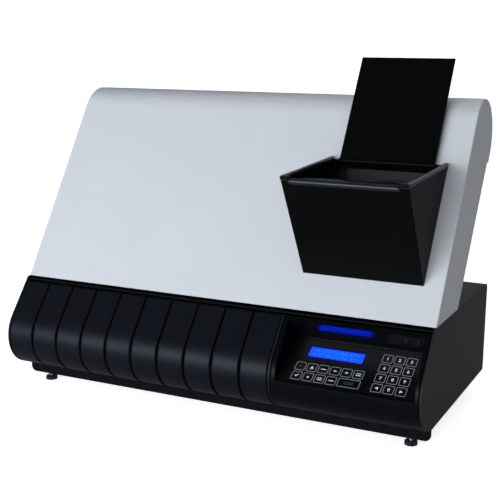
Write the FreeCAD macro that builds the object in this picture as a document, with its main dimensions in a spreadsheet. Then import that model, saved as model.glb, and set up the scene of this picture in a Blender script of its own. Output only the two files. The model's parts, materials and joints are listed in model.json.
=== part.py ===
import FreeCAD, Part
import math
import os
import re

import Sketcher

# Counter-top coin sorting machine. X runs to the right, Y to the back and Z up.
# The origin is on the floor under the middle of the machine. Millimetres and degrees.

box_count = 10
seat_count = 12
vent_count = 14
flute_count = 9
sizes = {
    # Whole machine
    "body_width": 740,
    "body_depth": 393,
    "foot_height": 32.5,
    "base_height": 157.5,
    "side_sheet": 2.5,
    "sheet": 2,
    "seam": 0.6,
    # Base pan, its apron and the levelling feet
    "pan_sheet": 2.5,
    "apron_height": 18.5,
    "apron_setback": 62,
    "apron_corner": 10,
    "foot_inset_side": 34,
    "foot_inset_front": 75,
    "foot_inset_back": 28,
    "pad_radius": 10.2,
    "pad_height": 7,
    "pad_round": 2.5,
    "flute_radius": 2.4,
    "stem_radius": 4,
    # Bull-nosed fronts shared by the coin boxes, the console and the side panels
    "nose_radius": 58,
    "front_lean": 38,
    "front_gap": 7.3,
    "front_round": 1.4,
    # Coin boxes and their guides
    "box_float": 0.5,
    "box_pitch": 49.55,
    "box_gap": 1.8,
    "box_length": 195,
    "box_wall": 2.2,
    "bin_width": 44,
    "bin_height": 130,
    "guide_clearance": 0.4,
    "guide_height": 12,
    # Control console with its sunk desk
    "console_wall": 3,
    "console_tail": 31,
    "divider_sheet": 3,
    "left_cheek": 9.3,
    "right_cheek": 8.2,
    "cheek_round": 2.4,
    "desk_angle": 31.4,
    "desk_depth": 97.3,
    "brow_band": 6.2,
    "web_height": 8,
    "overlay_sheet": 0.8,
    "overlay_margin": 2,
    "overlay_start": 5,
    "overlay_length": 86,
    "display_inset": 42.8,
    "display_start": 58,
    "display_width": 87.5,
    "display_height": 22.5,
    "window_fit": 0.2,
    "window_lap": 3,
    "module_margin": 6,
    "module_depth": 8,
    "module_gap": 0.6,
    "board_sheet": 1.6,
    # Top deck, front rail, bay wall and rear panel
    "deck_corner": 8,
    "deck_flange": 15,
    "rail_drop": 3,
    "rail_lip": 7,
    "rail_reach": 30,
    "rail_web": 17,
    "bay_gap": 4,
    "rear_inset": 3,
    "vent_width": 4,
    "vent_height": 46,
    "vent_pitch": 11,
    "vent_foot": 70,
    "vent_start": 40,
    # Leaning hood
    "hood_setback": 65,
    "hood_lean": 32.4,
    "hood_sheet": 2.5,
    "hood_depth": 122,
    "hood_crown": 349,
    "hood_skirt": 333,
    "hood_round": 2,
    "back_edge_top": 113,
    "back_edge_low": 103,
    "seat_gap": 0.5,
    # Hood hinge
    "hinge_along": 322,
    "hinge_across": 105,
    "hinge_ear": 4,
    "hinge_gap": 0.4,
    "hinge_pin_radius": 4,
    "hinge_boss": 9,
    "running_fit": 0.05,
    # Inner frame and sorting deck
    "frame_front": 36,
    "frame_top": 300,
    "frame_foot": 12,
    "deck_setback": 55,
    "deck_sheet": 3,
    "cover_setback": 98,
    "cover_top": 305,
    "rail_along": 230,
    "rail_sheet": 4,
    "rail_depth": 15,
    "slot_width": 34,
    "slot_low": 17,
    "slot_step": 1.75,
    "lane_sheet": 1.5,
    "lane_top": 226,
    # Coin feed
    "feed_along": 170,
    "disc_radius": 85,
    "disc_sheet": 6,
    "disc_gap": 2,
    "seat_radius": 13.5,
    "seat_ring": 68,
    "seat_depth": 3,
    "shaft_radius": 5,
    "bearing_radius": 9,
    "shaft_tail": 8,
    "feed_motor_radius": 32,
    "feed_motor_length": 35,
    "bowl_gap": 3,
    "bowl_wall": 3,
    "bowl_front": 6,
    "bowl_rise": 35,
    # Transport belt
    "belt_low": 236,
    "belt_width": 14,
    "belt_sheet": 2.5,
    "belt_gap": 3.5,
    "belt_slack": 0.3,
    "pulley_radius": 16,
    "pulley_flange": 17.5,
    "flange_sheet": 1.5,
    "axle_radius": 4,
    "drive_inset": 32,
    "idler_inset": 13.2,
    "bracket_gap": 8,
    "bracket_sheet": 3,
    "bracket_half": 14,
    "belt_motor_radius": 19,
    "belt_motor_length": 46,
    "sensor_width": 24,
    "sensor_depth": 12,
    "sensor_height": 30,
    "coin_path": 3.4,
    "sensor_lead": 24.2,
    # Hopper, tray and lid
    "hopper_width": 196,
    "hopper_margin": 31.3,
    "hopper_wall": 2.5,
    "hopper_foot": 62,
    "hopper_head": 265,
    "hopper_depth": 204,
    "rim_tilt": 2.8,
    "lip_radius": 3,
    "lip_return": 15,
    "lip_step": 5,
    "tray_sheet": 2,
    "tray_fit": 0.2,
    "tray_drop": 8,
    "tray_back": 11,
    "shelf_depth": 72,
    "mouth_low": 117,
    "mouth_high": 250,
    "mouth_inset": 10,
    "lid_width": 158,
    "lid_length": 190,
    "lid_sheet": 2,
    "lid_lean": 30.5,
    "lid_along": 258,
    "lid_out": 8,
    "lid_barrel": 4.5,
    "lid_pin_radius": 2,
    "bumper_along": 330,
    "bumper_radius": 5,
    "bumper_spread": 60,
    "bumper_gap": 0.6,
    # Electrical pieces in the rear bay
    "supply_width": 110,
    "supply_depth": 120,
    "supply_height": 55,
    "supply_inset": 86.9,
    "main_board_width": 210,
    "main_board_depth": 120,
    "main_board_inset": 176.9,
    "bay_clear": 25,
    "standoff_height": 10,
    "standoff_radius": 3,
    "standoff_inset": 8,
    "inlet_inset": 66.9,
    "inlet_z": 85,
    "inlet_width": 27,
    "inlet_height": 20,
    "inlet_depth": 24,
    "inlet_flange": 4,
    "inlet_wall": 2,
    "pin_length": 16,
    "pin_gap": 7,
    "bezel_sheet": 2,
    "switch_rise": 32,
    "switch_width": 14,
    "switch_height": 23,
    "switch_wall": 1.6,
    "rocker_gap": 0.4,
    "rocker_tilt": 8,
    "rocker_depth": 4,
    "trunnion_radius": 1.2,
    "screw_radius": 3,
    "screw_head": 1.6,
    "screw_inset": 12,
}

# Lines and corners that follow from the sizes
places = {
    "front_y": "-body_depth / 2",
    "back_y": "body_depth / 2",
    "seat_z": "foot_height + base_height",
    "pan_top": "foot_height + pan_sheet",
    "apron_y": "front_y + apron_setback",
    "inner_half": "body_width / 2 - side_sheet - seam",
    "box_floor": "pan_top + box_float",
    "box_back": "front_y + box_length",
    "box_start": "side_sheet - body_width / 2",
    "box_end": f"box_start + {box_count} * box_pitch",
    "nose_y": "front_y + nose_radius",
    "nose_z": "box_floor + nose_radius",
    "slope_y": "nose_y - nose_radius * cos(front_lean)",
    "slope_z": "nose_z + nose_radius * sin(front_lean)",
    "front_top": "seat_z - front_gap",
    "brow_y": "slope_y + (front_top - slope_z) * tan(front_lean)",
    "console_left": "box_end + divider_sheet + seam",
    "console_width": "inner_half - console_left",
    "console_x": "(inner_half + console_left) / 2",
    "recess_width": "console_width - left_cheek - right_cheek",
    "recess_x": "(left_cheek - right_cheek) / 2",
    "tail_y": "nose_y + console_tail",
    "crease_y": "front_y + desk_depth * cos(desk_angle)",
    "crease_z": "nose_z + desk_depth * sin(desk_angle)",
    "lintel_z": "front_top - brow_band",
    "lintel_y": "slope_y + (lintel_z - slope_z) * tan(front_lean)",
    "display_x": "console_left + display_inset",
    "hood_y": "front_y + hood_setback",
    "hood_z": "seat_z + seat_gap",
    "hood_radius": "hood_depth / 2",
    "deck_back": "deck_setback + deck_sheet",
    "cover_back": "cover_setback + sheet",
    "top_deck_y": "hood_y + cover_back / cos(hood_lean) + seam",
    "bay_y": "box_back + bay_gap",
    "rear_y": "back_y - rear_inset",
    "rear_top": "seat_z - deck_flange - seam",
    "frame_x": "inner_half - sheet",
    "hopper_x": "body_width / 2 - hopper_margin - hopper_width / 2",
    "rim_drop": "hopper_depth * tan(rim_tilt)",
    "rim_t": "rim_drop * sin(hood_lean) - hopper_depth * cos(hood_lean)",
    "rim_s": "hopper_head - hopper_depth * sin(hood_lean) - rim_drop * cos(hood_lean)",
    "wall_slope": "(hopper_foot - rim_s) / rim_t",
    "wall_shift": "hopper_wall * sqrt(1 + wall_slope * wall_slope)",
    "shelf_t": "rim_t + tray_back * cos(hood_lean) + tray_drop * sin(hood_lean)",
    "shelf_s": "rim_s + tray_back * sin(hood_lean) - tray_drop * cos(hood_lean)",
    "ramp_t": "shelf_t + shelf_depth * cos(hood_lean)",
    "ramp_s": "shelf_s + shelf_depth * sin(hood_lean)",
    "disc_front": "deck_setback - disc_gap - disc_sheet",
    "bowl_radius": "disc_radius + bowl_gap",
    "belt_t": "deck_setback - belt_gap - belt_sheet - belt_slack - pulley_radius",
    "drive_x": "box_start + drive_inset",
    "rail_rise": "rail_along - rail_sheet - feed_along",
    "rail_end": "hopper_x - sqrt(disc_radius * disc_radius - rail_rise * rail_rise) - seam",
    "sensor_x": "rail_end - sensor_lead - sensor_width",
    "idler_x": "sensor_x - idler_inset - belt_sheet - belt_slack - pulley_radius",
    "supply_x": "inner_half - supply_inset - supply_width",
    "main_board_x": "main_board_inset - inner_half",
    "inlet_x": "inner_half - inlet_inset",
    "bracket_s": "belt_low + belt_width + bracket_gap",
    "switch_z": "inlet_z + switch_rise",
    "board_z": "pan_top + standoff_height",
    "bay_back": "rear_y - sheet - bay_clear",
}

doc = FreeCAD.newDocument("coin_sorter")
sheet = doc.addObject("Spreadsheet::Sheet", "Sizes")
for row, (name, number) in enumerate(sizes.items(), start=1):
    sheet.set(f"A{row}", name)
    sheet.set(f"B{row}", str(number))
    sheet.setAlias(f"B{row}", name)
doc.recompute()

word = re.compile(r"[a-z_]+")
nodes = []
lean_angle = "-hood_lean"
lean_through = "-90 - hood_lean"


# Expressions: plain words in, references to the sheet's cells out
def spell(text):
    def unfold(found):
        name = found.group(0)
        return f"({places[name]})" if name in places else name

    def refer(found):
        name = found.group(0)
        return f"Sizes.{name}" if name in sizes else name

    before = None
    while before != text:
        before = text
        text = word.sub(unfold, text)
    return word.sub(refer, text)


def value(text):
    return float(sheet.evalExpression(spell(text)))


def bind(thing, path, text):
    thing.setExpression(path, spell(text))


def place(thing, x="0", y="0", z="0", angle=None, axis=(1, 0, 0)):
    if angle:
        turn = FreeCAD.Rotation(FreeCAD.Vector(*axis), value(angle))
        thing.Placement = FreeCAD.Placement(FreeCAD.Vector(), turn)
        bind(thing, "Placement.Rotation.Angle", angle)
    for letter, text in zip("xyz", (x, y, z)):
        bind(thing, f"Placement.Base.{letter}", text)


# The leaning frame of the hood: t runs into the hood, s runs up along its face
def lean_point(t, s):
    y = f"hood_y + ({t}) * cos(hood_lean) + ({s}) * sin(hood_lean)"
    z = f"hood_z - ({t}) * sin(hood_lean) + ({s}) * cos(hood_lean)"
    return y, z


# The console's desk: u runs up the desk from its front crease, n stands off it
def desk_point(u, n):
    y = f"front_y + ({u}) * cos(desk_angle) - ({n}) * sin(desk_angle)"
    z = f"nose_z + ({u}) * sin(desk_angle) + ({n}) * cos(desk_angle)"
    return y, z


# Primitives and booleans
def block(name, corner, spans, angle=None):
    thing = doc.addObject("Part::Box", name)
    for path, text in zip(("Length", "Width", "Height"), spans):
        bind(thing, path, text)
    place(thing, *corner, angle)
    return thing


def lean_block(name, x, t, s, spans):
    return block(name, (x, *lean_point(t, s)), spans, lean_angle)


def desk_block(name, x, u, n, spans):
    return block(name, (x, *desk_point(u, n)), spans, "desk_angle")


def rod(name, start, radius, length, angle=None, axis=(1, 0, 0)):
    thing = doc.addObject("Part::Cylinder", name)
    bind(thing, "Radius", radius)
    bind(thing, "Height", length)
    place(thing, *start, angle, axis)
    return thing


def cross_rod(name, x, y, z, radius, length):
    return rod(name, (x, y, z), radius, length, "90", (0, 1, 0))


def fuse(name, *things):
    thing = doc.addObject("Part::MultiFuse", name)
    thing.Shapes = list(things)
    thing.Refine = True
    return thing


def cut(name, base, *tools):
    thing = doc.addObject("Part::Cut", name)
    thing.Base = base
    thing.Tool = tools[0] if len(tools) == 1 else fuse(f"{name}_tools", *tools)
    return thing


def group(name, things):
    thing = doc.addObject("Part::Compound", name)
    thing.Links = list(things)
    return thing


def node(thing, label):
    thing.Label = label
    nodes.append(thing)
    return thing


# Sketched bodies
def new_body(name):
    return doc.addObject("PartDesign::Body", name)


def arc_between(start, end, radius):
    chord = end - start
    square = FreeCAD.Vector(-chord.y, chord.x, 0) / chord.Length
    rise = math.sqrt(max(radius * radius - chord.Length * chord.Length / 4, 0))
    centre = (start + end) / 2 + square * math.copysign(rise, radius)
    first, last = (start, end) if radius > 0 else (end, start)
    angles = [math.atan2(spot.y - centre.y, spot.x - centre.x) for spot in (first, last)]
    return Part.ArcOfCircle(Part.Circle(centre, FreeCAD.Vector(0, 0, 1), abs(radius)), *angles)


# Each corner is (u, v), or (u, v, radius) where an arc leads on to the next corner.
# A positive radius turns left and a negative one turns right.
def add_loop(sketch, corners):
    spots = [FreeCAD.Vector(value(corner[0]), value(corner[1]), 0) for corner in corners]
    heads = []
    tails = []
    for index, corner in enumerate(corners):
        start = spots[index]
        end = spots[(index + 1) % len(spots)]
        if len(corner) == 2:
            edge = sketch.addGeometry(Part.LineSegment(start, end), False)
            heads.append((edge, 1))
            tails.append((edge, 2))
            continue
        radius = value(corner[2])
        edge = sketch.addGeometry(arc_between(start, end, radius), False)
        heads.append((edge, 1 if radius > 0 else 2))
        tails.append((edge, 2 if radius > 0 else 1))
        rule = sketch.addConstraint(Sketcher.Constraint("Radius", edge, abs(radius)))
        bind(sketch, f"Constraints[{rule}]", corner[2].lstrip("-"))
    for index, corner in enumerate(corners):
        sketch.addConstraint(Sketcher.Constraint("Coincident", *tails[index - 1], *heads[index]))
        for axis, kind in enumerate(("DistanceX", "DistanceY")):
            rule = sketch.addConstraint(
                Sketcher.Constraint(kind, -1, 1, *heads[index], spots[index][axis])
            )
            bind(sketch, f"Constraints[{rule}]", corner[axis])


def add_circle(sketch, u, v, radius):
    centre = FreeCAD.Vector(value(u), value(v), 0)
    circle = Part.Circle(centre, FreeCAD.Vector(0, 0, 1), value(radius))
    edge = sketch.addGeometry(circle, False)
    rules = (
        ("Radius", (edge,), radius),
        ("DistanceX", (-1, 1, edge, 3), u),
        ("DistanceY", (-1, 1, edge, 3), v),
    )
    for kind, where, text in rules:
        rule = sketch.addConstraint(Sketcher.Constraint(kind, *where, value(text)))
        bind(sketch, f"Constraints[{rule}]", text)


def draw(body, plane, loops=(), circles=(), depth="0"):
    sketch = body.newObject("Sketcher::SketchObject", f"{body.Name}_sketch")
    support = next(item for item in body.Origin.OriginFeatures if item.Role == plane)
    sketch.AttachmentSupport = (support, "")
    sketch.MapMode = "FlatFace"
    bind(sketch, "AttachmentOffset.Base.z", depth)
    for loop in loops:
        add_loop(sketch, loop)
    for circle in circles:
        add_circle(sketch, *circle)
    return sketch


def extrude(body, kind, sketch, length, both=False, back=False):
    feature = body.newObject(f"PartDesign::{kind}", f"{body.Name}_{kind.lower()}")
    feature.Profile = sketch
    feature.SideType = "Symmetric" if both else "One side"
    feature.Reversed = back
    bind(feature, "Length", length)
    return feature


def pad(body, sketch, length, both=False, back=False):
    return extrude(body, "Pad", sketch, length, both, back)


def pocket(body, sketch, length, both=True, back=False):
    return extrude(body, "Pocket", sketch, length, both, back)


def rectangle(u_low, v_low, u_high, v_high):
    return [(u_low, v_low), (u_high, v_low), (u_high, v_high), (u_low, v_high)]


def round_edges(body, test, radius):
    doc.recompute()
    base = body.Tip
    names = []
    for index, edge in enumerate(base.Shape.Edges, start=1):
        middle = edge.valueAt((edge.FirstParameter + edge.LastParameter) / 2)
        spots = [vertex.Point for vertex in edge.Vertexes] + [middle]
        if all(test(spot) for spot in spots):
            names.append(f"Edge{index}")
    feature = body.newObject("PartDesign::Fillet", f"{body.Name}_fillet")
    feature.Base = (base, names)
    bind(feature, "Radius", radius)
    return feature


near = 0.01


# True on the front surface of the bull-nosed profile, between its brow and its underside
def on_nose(spot):
    nose_y = value("nose_y")
    nose_z = value("nose_z")
    radius = value("nose_radius")
    lean = math.radians(value("front_lean"))
    rise = (spot.y - nose_y) * -math.cos(lean) + (spot.z - nose_z) * math.sin(lean)
    on_slope = abs(rise - radius) < near and spot.z > value("slope_z") - near
    on_round = abs(math.hypot(spot.y - nose_y, spot.z - nose_z) - radius) < near
    return on_slope or on_round


# Base pan with its front apron
def make_base_pan():
    body = new_body("base_pan")
    floor = draw(body, "YZ_Plane", [rectangle("apron_y", "foot_height", "rear_y - sheet - seam", "pan_top")])
    pad(body, floor, "2 * inner_half", both=True)
    apron_low = "foot_height - apron_height"
    apron = draw(body, "YZ_Plane", [rectangle("apron_y", apron_low, "apron_y + pan_sheet", "foot_height")])
    pad(body, apron, "body_width", both=True)
    side = value("body_width / 2")
    low = value(apron_low)
    front = value("apron_y")
    top = value("pan_top")
    round_edges(body, lambda p: abs(abs(p.x) - side) < near and abs(p.z - low) < near, "apron_corner")
    round_edges(body, lambda p: abs(p.y - front) < near and abs(p.z - top) < near, "pan_sheet * 0.8")
    node(body, "base_pan")


# Side panels follow the bull-nosed profile
def make_side_panel(label, depth):
    body = new_body(label)
    outline = [
        ("slope_y + (seat_z - slope_z) * tan(front_lean)", "seat_z"),
        ("slope_y", "slope_z", "nose_radius"),
        ("nose_y", "box_floor"),
        ("apron_y", "foot_height"),
        ("back_y", "foot_height"),
        ("back_y", "seat_z - deck_corner", "deck_corner"),
        ("back_y - deck_corner", "seat_z"),
    ]
    pad(body, draw(body, "YZ_Plane", [outline], depth=depth), "side_sheet")
    node(body, label)


# Top deck: one bent sheet that turns down over the rear panel
def make_top_deck():
    body = new_body("top_deck")
    outline = [
        ("top_deck_y", "seat_z - sheet"),
        ("back_y - deck_corner", "seat_z - sheet", "-(deck_corner - sheet)"),
        ("back_y - sheet", "seat_z - deck_corner"),
        ("back_y - sheet", "seat_z - deck_flange"),
        ("back_y", "seat_z - deck_flange"),
        ("back_y", "seat_z - deck_corner", "deck_corner"),
        ("back_y - deck_corner", "seat_z"),
        ("top_deck_y", "seat_z"),
    ]
    pad(body, draw(body, "YZ_Plane", [outline]), "2 * inner_half", both=True)
    node(body, "top_deck")


# Front rail: the ledge between the hood and the fronts
def make_front_rail():
    body = new_body("front_rail")
    top = "seat_z - rail_drop"
    outline = [
        ("hood_y - rail_lip", f"{top} - sheet"),
        ("hood_y + rail_reach - sheet", f"{top} - sheet"),
        ("hood_y + rail_reach - sheet", f"{top} - rail_web"),
        ("hood_y + rail_reach", f"{top} - rail_web"),
        ("hood_y + rail_reach", top),
        ("hood_y - rail_lip", top),
    ]
    pad(body, draw(body, "YZ_Plane", [outline]), "2 * inner_half", both=True)
    node(body, "front_rail")


def make_bay_wall():
    corner = ("-inner_half", "bay_y", "pan_top")
    wall = block("bay_wall", corner, ("2 * inner_half", "sheet", "seat_z - sheet - pan_top"))
    node(wall, "bay_wall")


# Rear panel with a row of vents and the two openings for the mains pieces
def make_rear_panel():
    body = new_body("rear_panel")
    depth = "-rear_y"
    outline = rectangle("-inner_half", "pan_top", "inner_half", "rear_top")
    plate = draw(body, "XZ_Plane", [outline], depth=depth)
    pad(body, plate, "sheet")
    half = "vent_width / 2"
    left = f"-inner_half + vent_start - {half}"
    right = f"-inner_half + vent_start + {half}"
    top = "vent_foot + vent_height"
    middle = "-inner_half + vent_start"
    slot = [
        (left, "vent_foot", half),
        (middle, f"vent_foot - {half}", half),
        (right, "vent_foot"),
        (right, top, half),
        (middle, f"{top} + {half}", half),
        (left, top),
    ]
    outline = draw(body, "XZ_Plane", [slot], depth=depth)
    vent = pocket(body, outline, "4 * sheet")
    doc.recompute()
    row = body.newObject("PartDesign::LinearPattern", "vent_row")
    row.Originals = [vent]
    row.Direction = (outline, ["H_Axis"])
    row.Mode = "Spacing"
    row.Occurrences = vent_count
    bind(row, "Offset", "vent_pitch")
    body.Tip = row
    doc.recompute()
    holes = [
        rectangle(
            "inlet_x - inlet_width / 2", "inlet_z - inlet_height / 2",
            "inlet_x + inlet_width / 2", "inlet_z + inlet_height / 2",
        ),
        rectangle(
            "inlet_x - switch_width / 2", "switch_z - switch_height / 2",
            "inlet_x + switch_width / 2", "switch_z + switch_height / 2",
        ),
    ]
    pocket(body, draw(body, "XZ_Plane", holes, depth=depth), "4 * sheet")
    node(body, "rear_panel")


# Levelling feet: four pads on four threaded stems
def make_foot_pad(x, y):
    body = new_body("pad")
    outline = [
        ("0", "0"),
        ("pad_radius", "0"),
        ("pad_radius", "pad_height - pad_round", "pad_round"),
        ("pad_radius - pad_round", "pad_height"),
        ("0", "pad_height"),
    ]
    sketch = draw(body, "XZ_Plane", [outline])
    turn = body.newObject("PartDesign::Revolution", "pad_turn")
    turn.Profile = sketch
    turn.ReferenceAxis = (sketch, ["V_Axis"])
    turn.Angle = 360
    flute = draw(body, "XY_Plane", circles=[("pad_radius + flute_radius / 2", "0", "flute_radius")])
    groove = pocket(body, flute, "2.5 * pad_height")
    doc.recompute()
    ring = body.newObject("PartDesign::PolarPattern", "flute_ring")
    ring.Originals = [groove]
    ring.Axis = (flute, ["N_Axis"])
    ring.Angle = 360
    ring.Occurrences = flute_count
    body.Tip = ring
    place(body, x, y)
    return body


def make_feet():
    pads = []
    stems = []
    columns = ("-body_width / 2 + foot_inset_side", "body_width / 2 - foot_inset_side")
    rows = ("front_y + foot_inset_front", "back_y - foot_inset_back")
    for x in columns:
        for y in rows:
            pads.append(make_foot_pad(x, y))
            stems.append(rod("stem", (x, y, "pad_height"), "stem_radius", "foot_height - pad_height"))
    node(group("pads", pads), "foot_pads")
    node(group("stems", stems), "foot_stems")


# One coin box: a bull-nosed front with a narrower open bin behind it
def make_coin_box(index):
    label = f"coin_box_{index + 1:02d}"
    body = new_body(label)
    front = [
        ("brow_y", "front_top"),
        ("slope_y", "slope_z", "nose_radius"),
        ("nose_y", "box_floor"),
        ("nose_y", "front_top"),
    ]
    pad(body, draw(body, "YZ_Plane", [front]), "box_pitch - box_gap", both=True)
    bin_outline = rectangle("nose_y - box_wall", "box_floor", "box_back", "box_floor + bin_height")
    pad(body, draw(body, "YZ_Plane", [bin_outline]), "bin_width", both=True)
    inner_brow = "brow_y + box_wall / cos(front_lean)"
    hollow = [
        (inner_brow, "front_top"),
        (
            "slope_y + box_wall * cos(front_lean)",
            "slope_z - box_wall * sin(front_lean)",
            "nose_radius - box_wall",
        ),
        ("nose_y", "box_floor + box_wall"),
        ("box_back - box_wall", "box_floor + box_wall"),
        ("box_back - box_wall", "seat_z"),
        (inner_brow, "seat_z"),
    ]
    pocket(body, draw(body, "YZ_Plane", [hollow]), "bin_width - 2 * box_wall")
    edge = value("(box_pitch - box_gap) / 2")
    round_edges(body, lambda p: abs(abs(p.x) - edge) < near and on_nose(p), "front_round")
    place(body, f"box_start + ({index} + 0.5) * box_pitch")
    node(body, label)


# Guide strips on the pan between neighbouring bins
def make_box_guides():
    width = "box_pitch - bin_width - 2 * guide_clearance"
    strips = []
    for index in range(1, box_count):
        corner = (f"box_start + {index} * box_pitch - ({width}) / 2", "nose_y + seam", "pan_top")
        strips.append(block("guide", corner, (width, "box_back - nose_y - seam", "guide_height")))
    node(group("guides", strips), "box_guides")


# Divider: a plate on the pan between the last box and the console, with the fronts' own outline
def make_box_divider():
    body = new_body("divider")
    bin_top = "box_floor + bin_height"
    outline = [
        ("brow_y", "front_top"),
        ("slope_y", "slope_z", "nose_radius"),
        ("nose_y", "box_floor"),
        ("apron_y + pan_sheet", "box_floor"),
        ("apron_y + pan_sheet", "pan_top"),
        ("box_back", "pan_top"),
        ("box_back", bin_top),
        ("nose_y", bin_top),
        ("nose_y", "front_top"),
    ]
    pad(body, draw(body, "YZ_Plane", [outline], depth="box_end"), "divider_sheet")
    node(body, "box_divider")


# Console: bull-nosed block with a sunk desk between two cheeks, hollow from behind
def make_console():
    body = new_body("console")
    outer = [
        ("brow_y", "front_top"),
        ("slope_y", "slope_z", "nose_radius"),
        ("nose_y", "box_floor"),
        ("tail_y", "box_floor"),
        ("tail_y", "front_top"),
    ]
    pad(body, draw(body, "YZ_Plane", [outer]), "console_width", both=True)
    spare = "nose_radius / 4"
    recess = [
        (f"front_y - {spare}", f"nose_z - {spare} * tan(desk_angle)"),
        ("crease_y", "crease_z"),
        ("lintel_y", "lintel_z"),
        (f"front_y - {spare}", "lintel_z"),
    ]
    pocket(body, draw(body, "YZ_Plane", [recess], depth="recess_x"), "recess_width")
    inner = "(nose_radius - console_wall)"
    tilt = "2"
    lip_y = f"nose_y - {inner} * cos({tilt})"
    lip_z = f"nose_z - {inner} * sin({tilt})"
    behind = "tail_y + seam"
    under = [
        (behind, "box_floor + console_wall"),
        ("nose_y", "box_floor + console_wall", f"-{inner}"),
        (lip_y, lip_z),
        (behind, f"{lip_z} + ({behind} - ({lip_y})) * tan(desk_angle)"),
    ]
    hollow_width = "console_width - 2 * console_wall"
    pocket(body, draw(body, "YZ_Plane", [under]), hollow_width)
    shift = "console_wall * 1.5"
    web_y = f"crease_y + {shift} + web_height * (lintel_y - crease_y) / (lintel_z - crease_z)"
    over = [
        (behind, "crease_z + web_height"),
        (behind, "front_top - console_wall"),
        (f"lintel_y + {shift}", "front_top - console_wall"),
        (f"lintel_y + {shift}", "lintel_z"),
        (web_y, "crease_z + web_height"),
    ]
    pocket(body, draw(body, "YZ_Plane", [over]), hollow_width)
    sides = [value("console_width / 2"), -value("console_width / 2")]
    sides += [value("recess_x + recess_width / 2"), value("recess_x - recess_width / 2")]
    desk_low = value("nose_z")

    def on_cheek(spot):
        beside = any(abs(spot.x - side) < near for side in sides[:2])
        within = any(abs(spot.x - side) < near for side in sides[2:]) and spot.z > desk_low - near
        return (beside or within) and on_nose(spot)

    round_edges(body, on_cheek, "cheek_round")
    place(body, "console_x")
    opening = desk_block(
        "display_opening", "display_x + window_lap", "display_start + window_lap", "-2 * console_wall",
        ("display_width - 2 * window_lap", "display_height - 2 * window_lap", "3 * console_wall"),
    )
    node(cut("console_shell", body, opening), "console_housing")


# Flat keypad overlay with the display window let into it
def make_keypad():
    left = "console_left + left_cheek + overlay_margin"
    plate = desk_block(
        "overlay_plate", left, "overlay_start", "0",
        ("recess_width - 2 * overlay_margin", "overlay_length", "overlay_sheet"),
    )
    hole = desk_block(
        "overlay_hole", "display_x", "display_start", "-overlay_sheet",
        ("display_width", "display_height", "3 * overlay_sheet"),
    )
    node(cut("overlay", plate, hole), "keypad_overlay")
    window = desk_block(
        "window", "display_x + window_fit", "display_start + window_fit", "0",
        ("display_width - 2 * window_fit", "display_height - 2 * window_fit", "overlay_sheet"),
    )
    node(window, "display_window")
    module = desk_block(
        "module", "display_x - module_margin", "display_start - module_margin",
        "-console_wall - module_gap - module_depth",
        ("display_width + 2 * module_margin", "display_height + 2 * module_margin", "module_depth"),
    )
    node(module, "display_module")
    board = desk_block(
        "board", left, "desk_depth / 4", "-console_wall - module_gap - module_depth - board_sheet",
        ("recess_width - 2 * overlay_margin", "desk_depth * 0.7", "board_sheet"),
    )
    node(board, "control_board")


# Inner frame plates, rear cover, sorting deck, lanes and coin rail
def make_frame_plate(label, depth):
    body = new_body(label)
    low = "(({0}) * sin(hood_lean) - frame_foot) / cos(hood_lean)"
    outline = [
        ("frame_front", low.format("frame_front")),
        ("cover_setback", low.format("cover_setback")),
        ("cover_setback", "cover_top - hinge_boss"),
        ("hinge_across + hinge_boss", "hinge_along - hinge_boss"),
        ("hinge_across + hinge_boss", "hinge_along + hinge_boss"),
        ("hinge_across - 2 * hinge_boss", "hinge_along + hinge_boss"),
        ("frame_front", "frame_top - 6 * hinge_boss"),
    ]
    hole = ("hinge_across", "hinge_along", "hinge_pin_radius")
    pad(body, draw(body, "YZ_Plane", [outline], [hole], depth), "sheet")
    place(body, "0", "hood_y", "hood_z", lean_angle)
    node(body, label)


def make_sorting_deck():
    low = "(deck_back * sin(hood_lean) + frame_foot / 4) / cos(hood_lean)"
    body = new_body("sorting_deck")
    outline = rectangle("-frame_x", low, "frame_x", "frame_top")
    hole = ("hopper_x", "feed_along", "bearing_radius")
    pad(body, draw(body, "XZ_Plane", [outline], [hole], "-deck_back"), "deck_sheet")
    slots = []
    for index in range(box_count):
        middle = f"box_start + ({index} + 0.5) * box_pitch"
        top = f"rail_along + slot_low + {box_count - 1 - index} * slot_step"
        slots.append(rectangle(f"{middle} - slot_width / 2", "rail_along", f"{middle} + slot_width / 2", top))
    pocket(body, draw(body, "XZ_Plane", slots, depth="-deck_back"), "4 * deck_sheet")
    place(body, "0", "hood_y", "hood_z", lean_angle)
    node(body, "sorting_deck")


def make_rear_cover():
    body = new_body("rear_cover")
    outline = [
        ("cover_setback", "cover_setback * tan(hood_lean)"),
        ("cover_back", "cover_back * tan(hood_lean)"),
        ("cover_back", "cover_top - 2 * hinge_boss"),
        ("cover_setback", "cover_top - 2 * hinge_boss"),
    ]
    pad(body, draw(body, "YZ_Plane", [outline]), "2 * inner_half", both=True)
    place(body, "0", "hood_y", "hood_z", lean_angle)
    node(body, "rear_cover")


def make_lanes():
    low = "(cover_setback * sin(hood_lean) + frame_foot / 4) / cos(hood_lean)"
    plates = []
    for index in range(1, box_count + 1):
        x = f"box_start + {index} * box_pitch - lane_sheet / 2"
        spans = ("lane_sheet", "cover_setback - deck_back", f"lane_top - {low}")
        plates.append(lean_block("lane", x, "deck_back", low, spans))
    node(group("lanes", plates), "lane_dividers")
    rail = lean_block(
        "rail", "-frame_x", "deck_setback - rail_depth", "rail_along - rail_sheet",
        ("rail_end + frame_x", "rail_depth", "rail_sheet"),
    )
    node(rail, "coin_rail")


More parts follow.
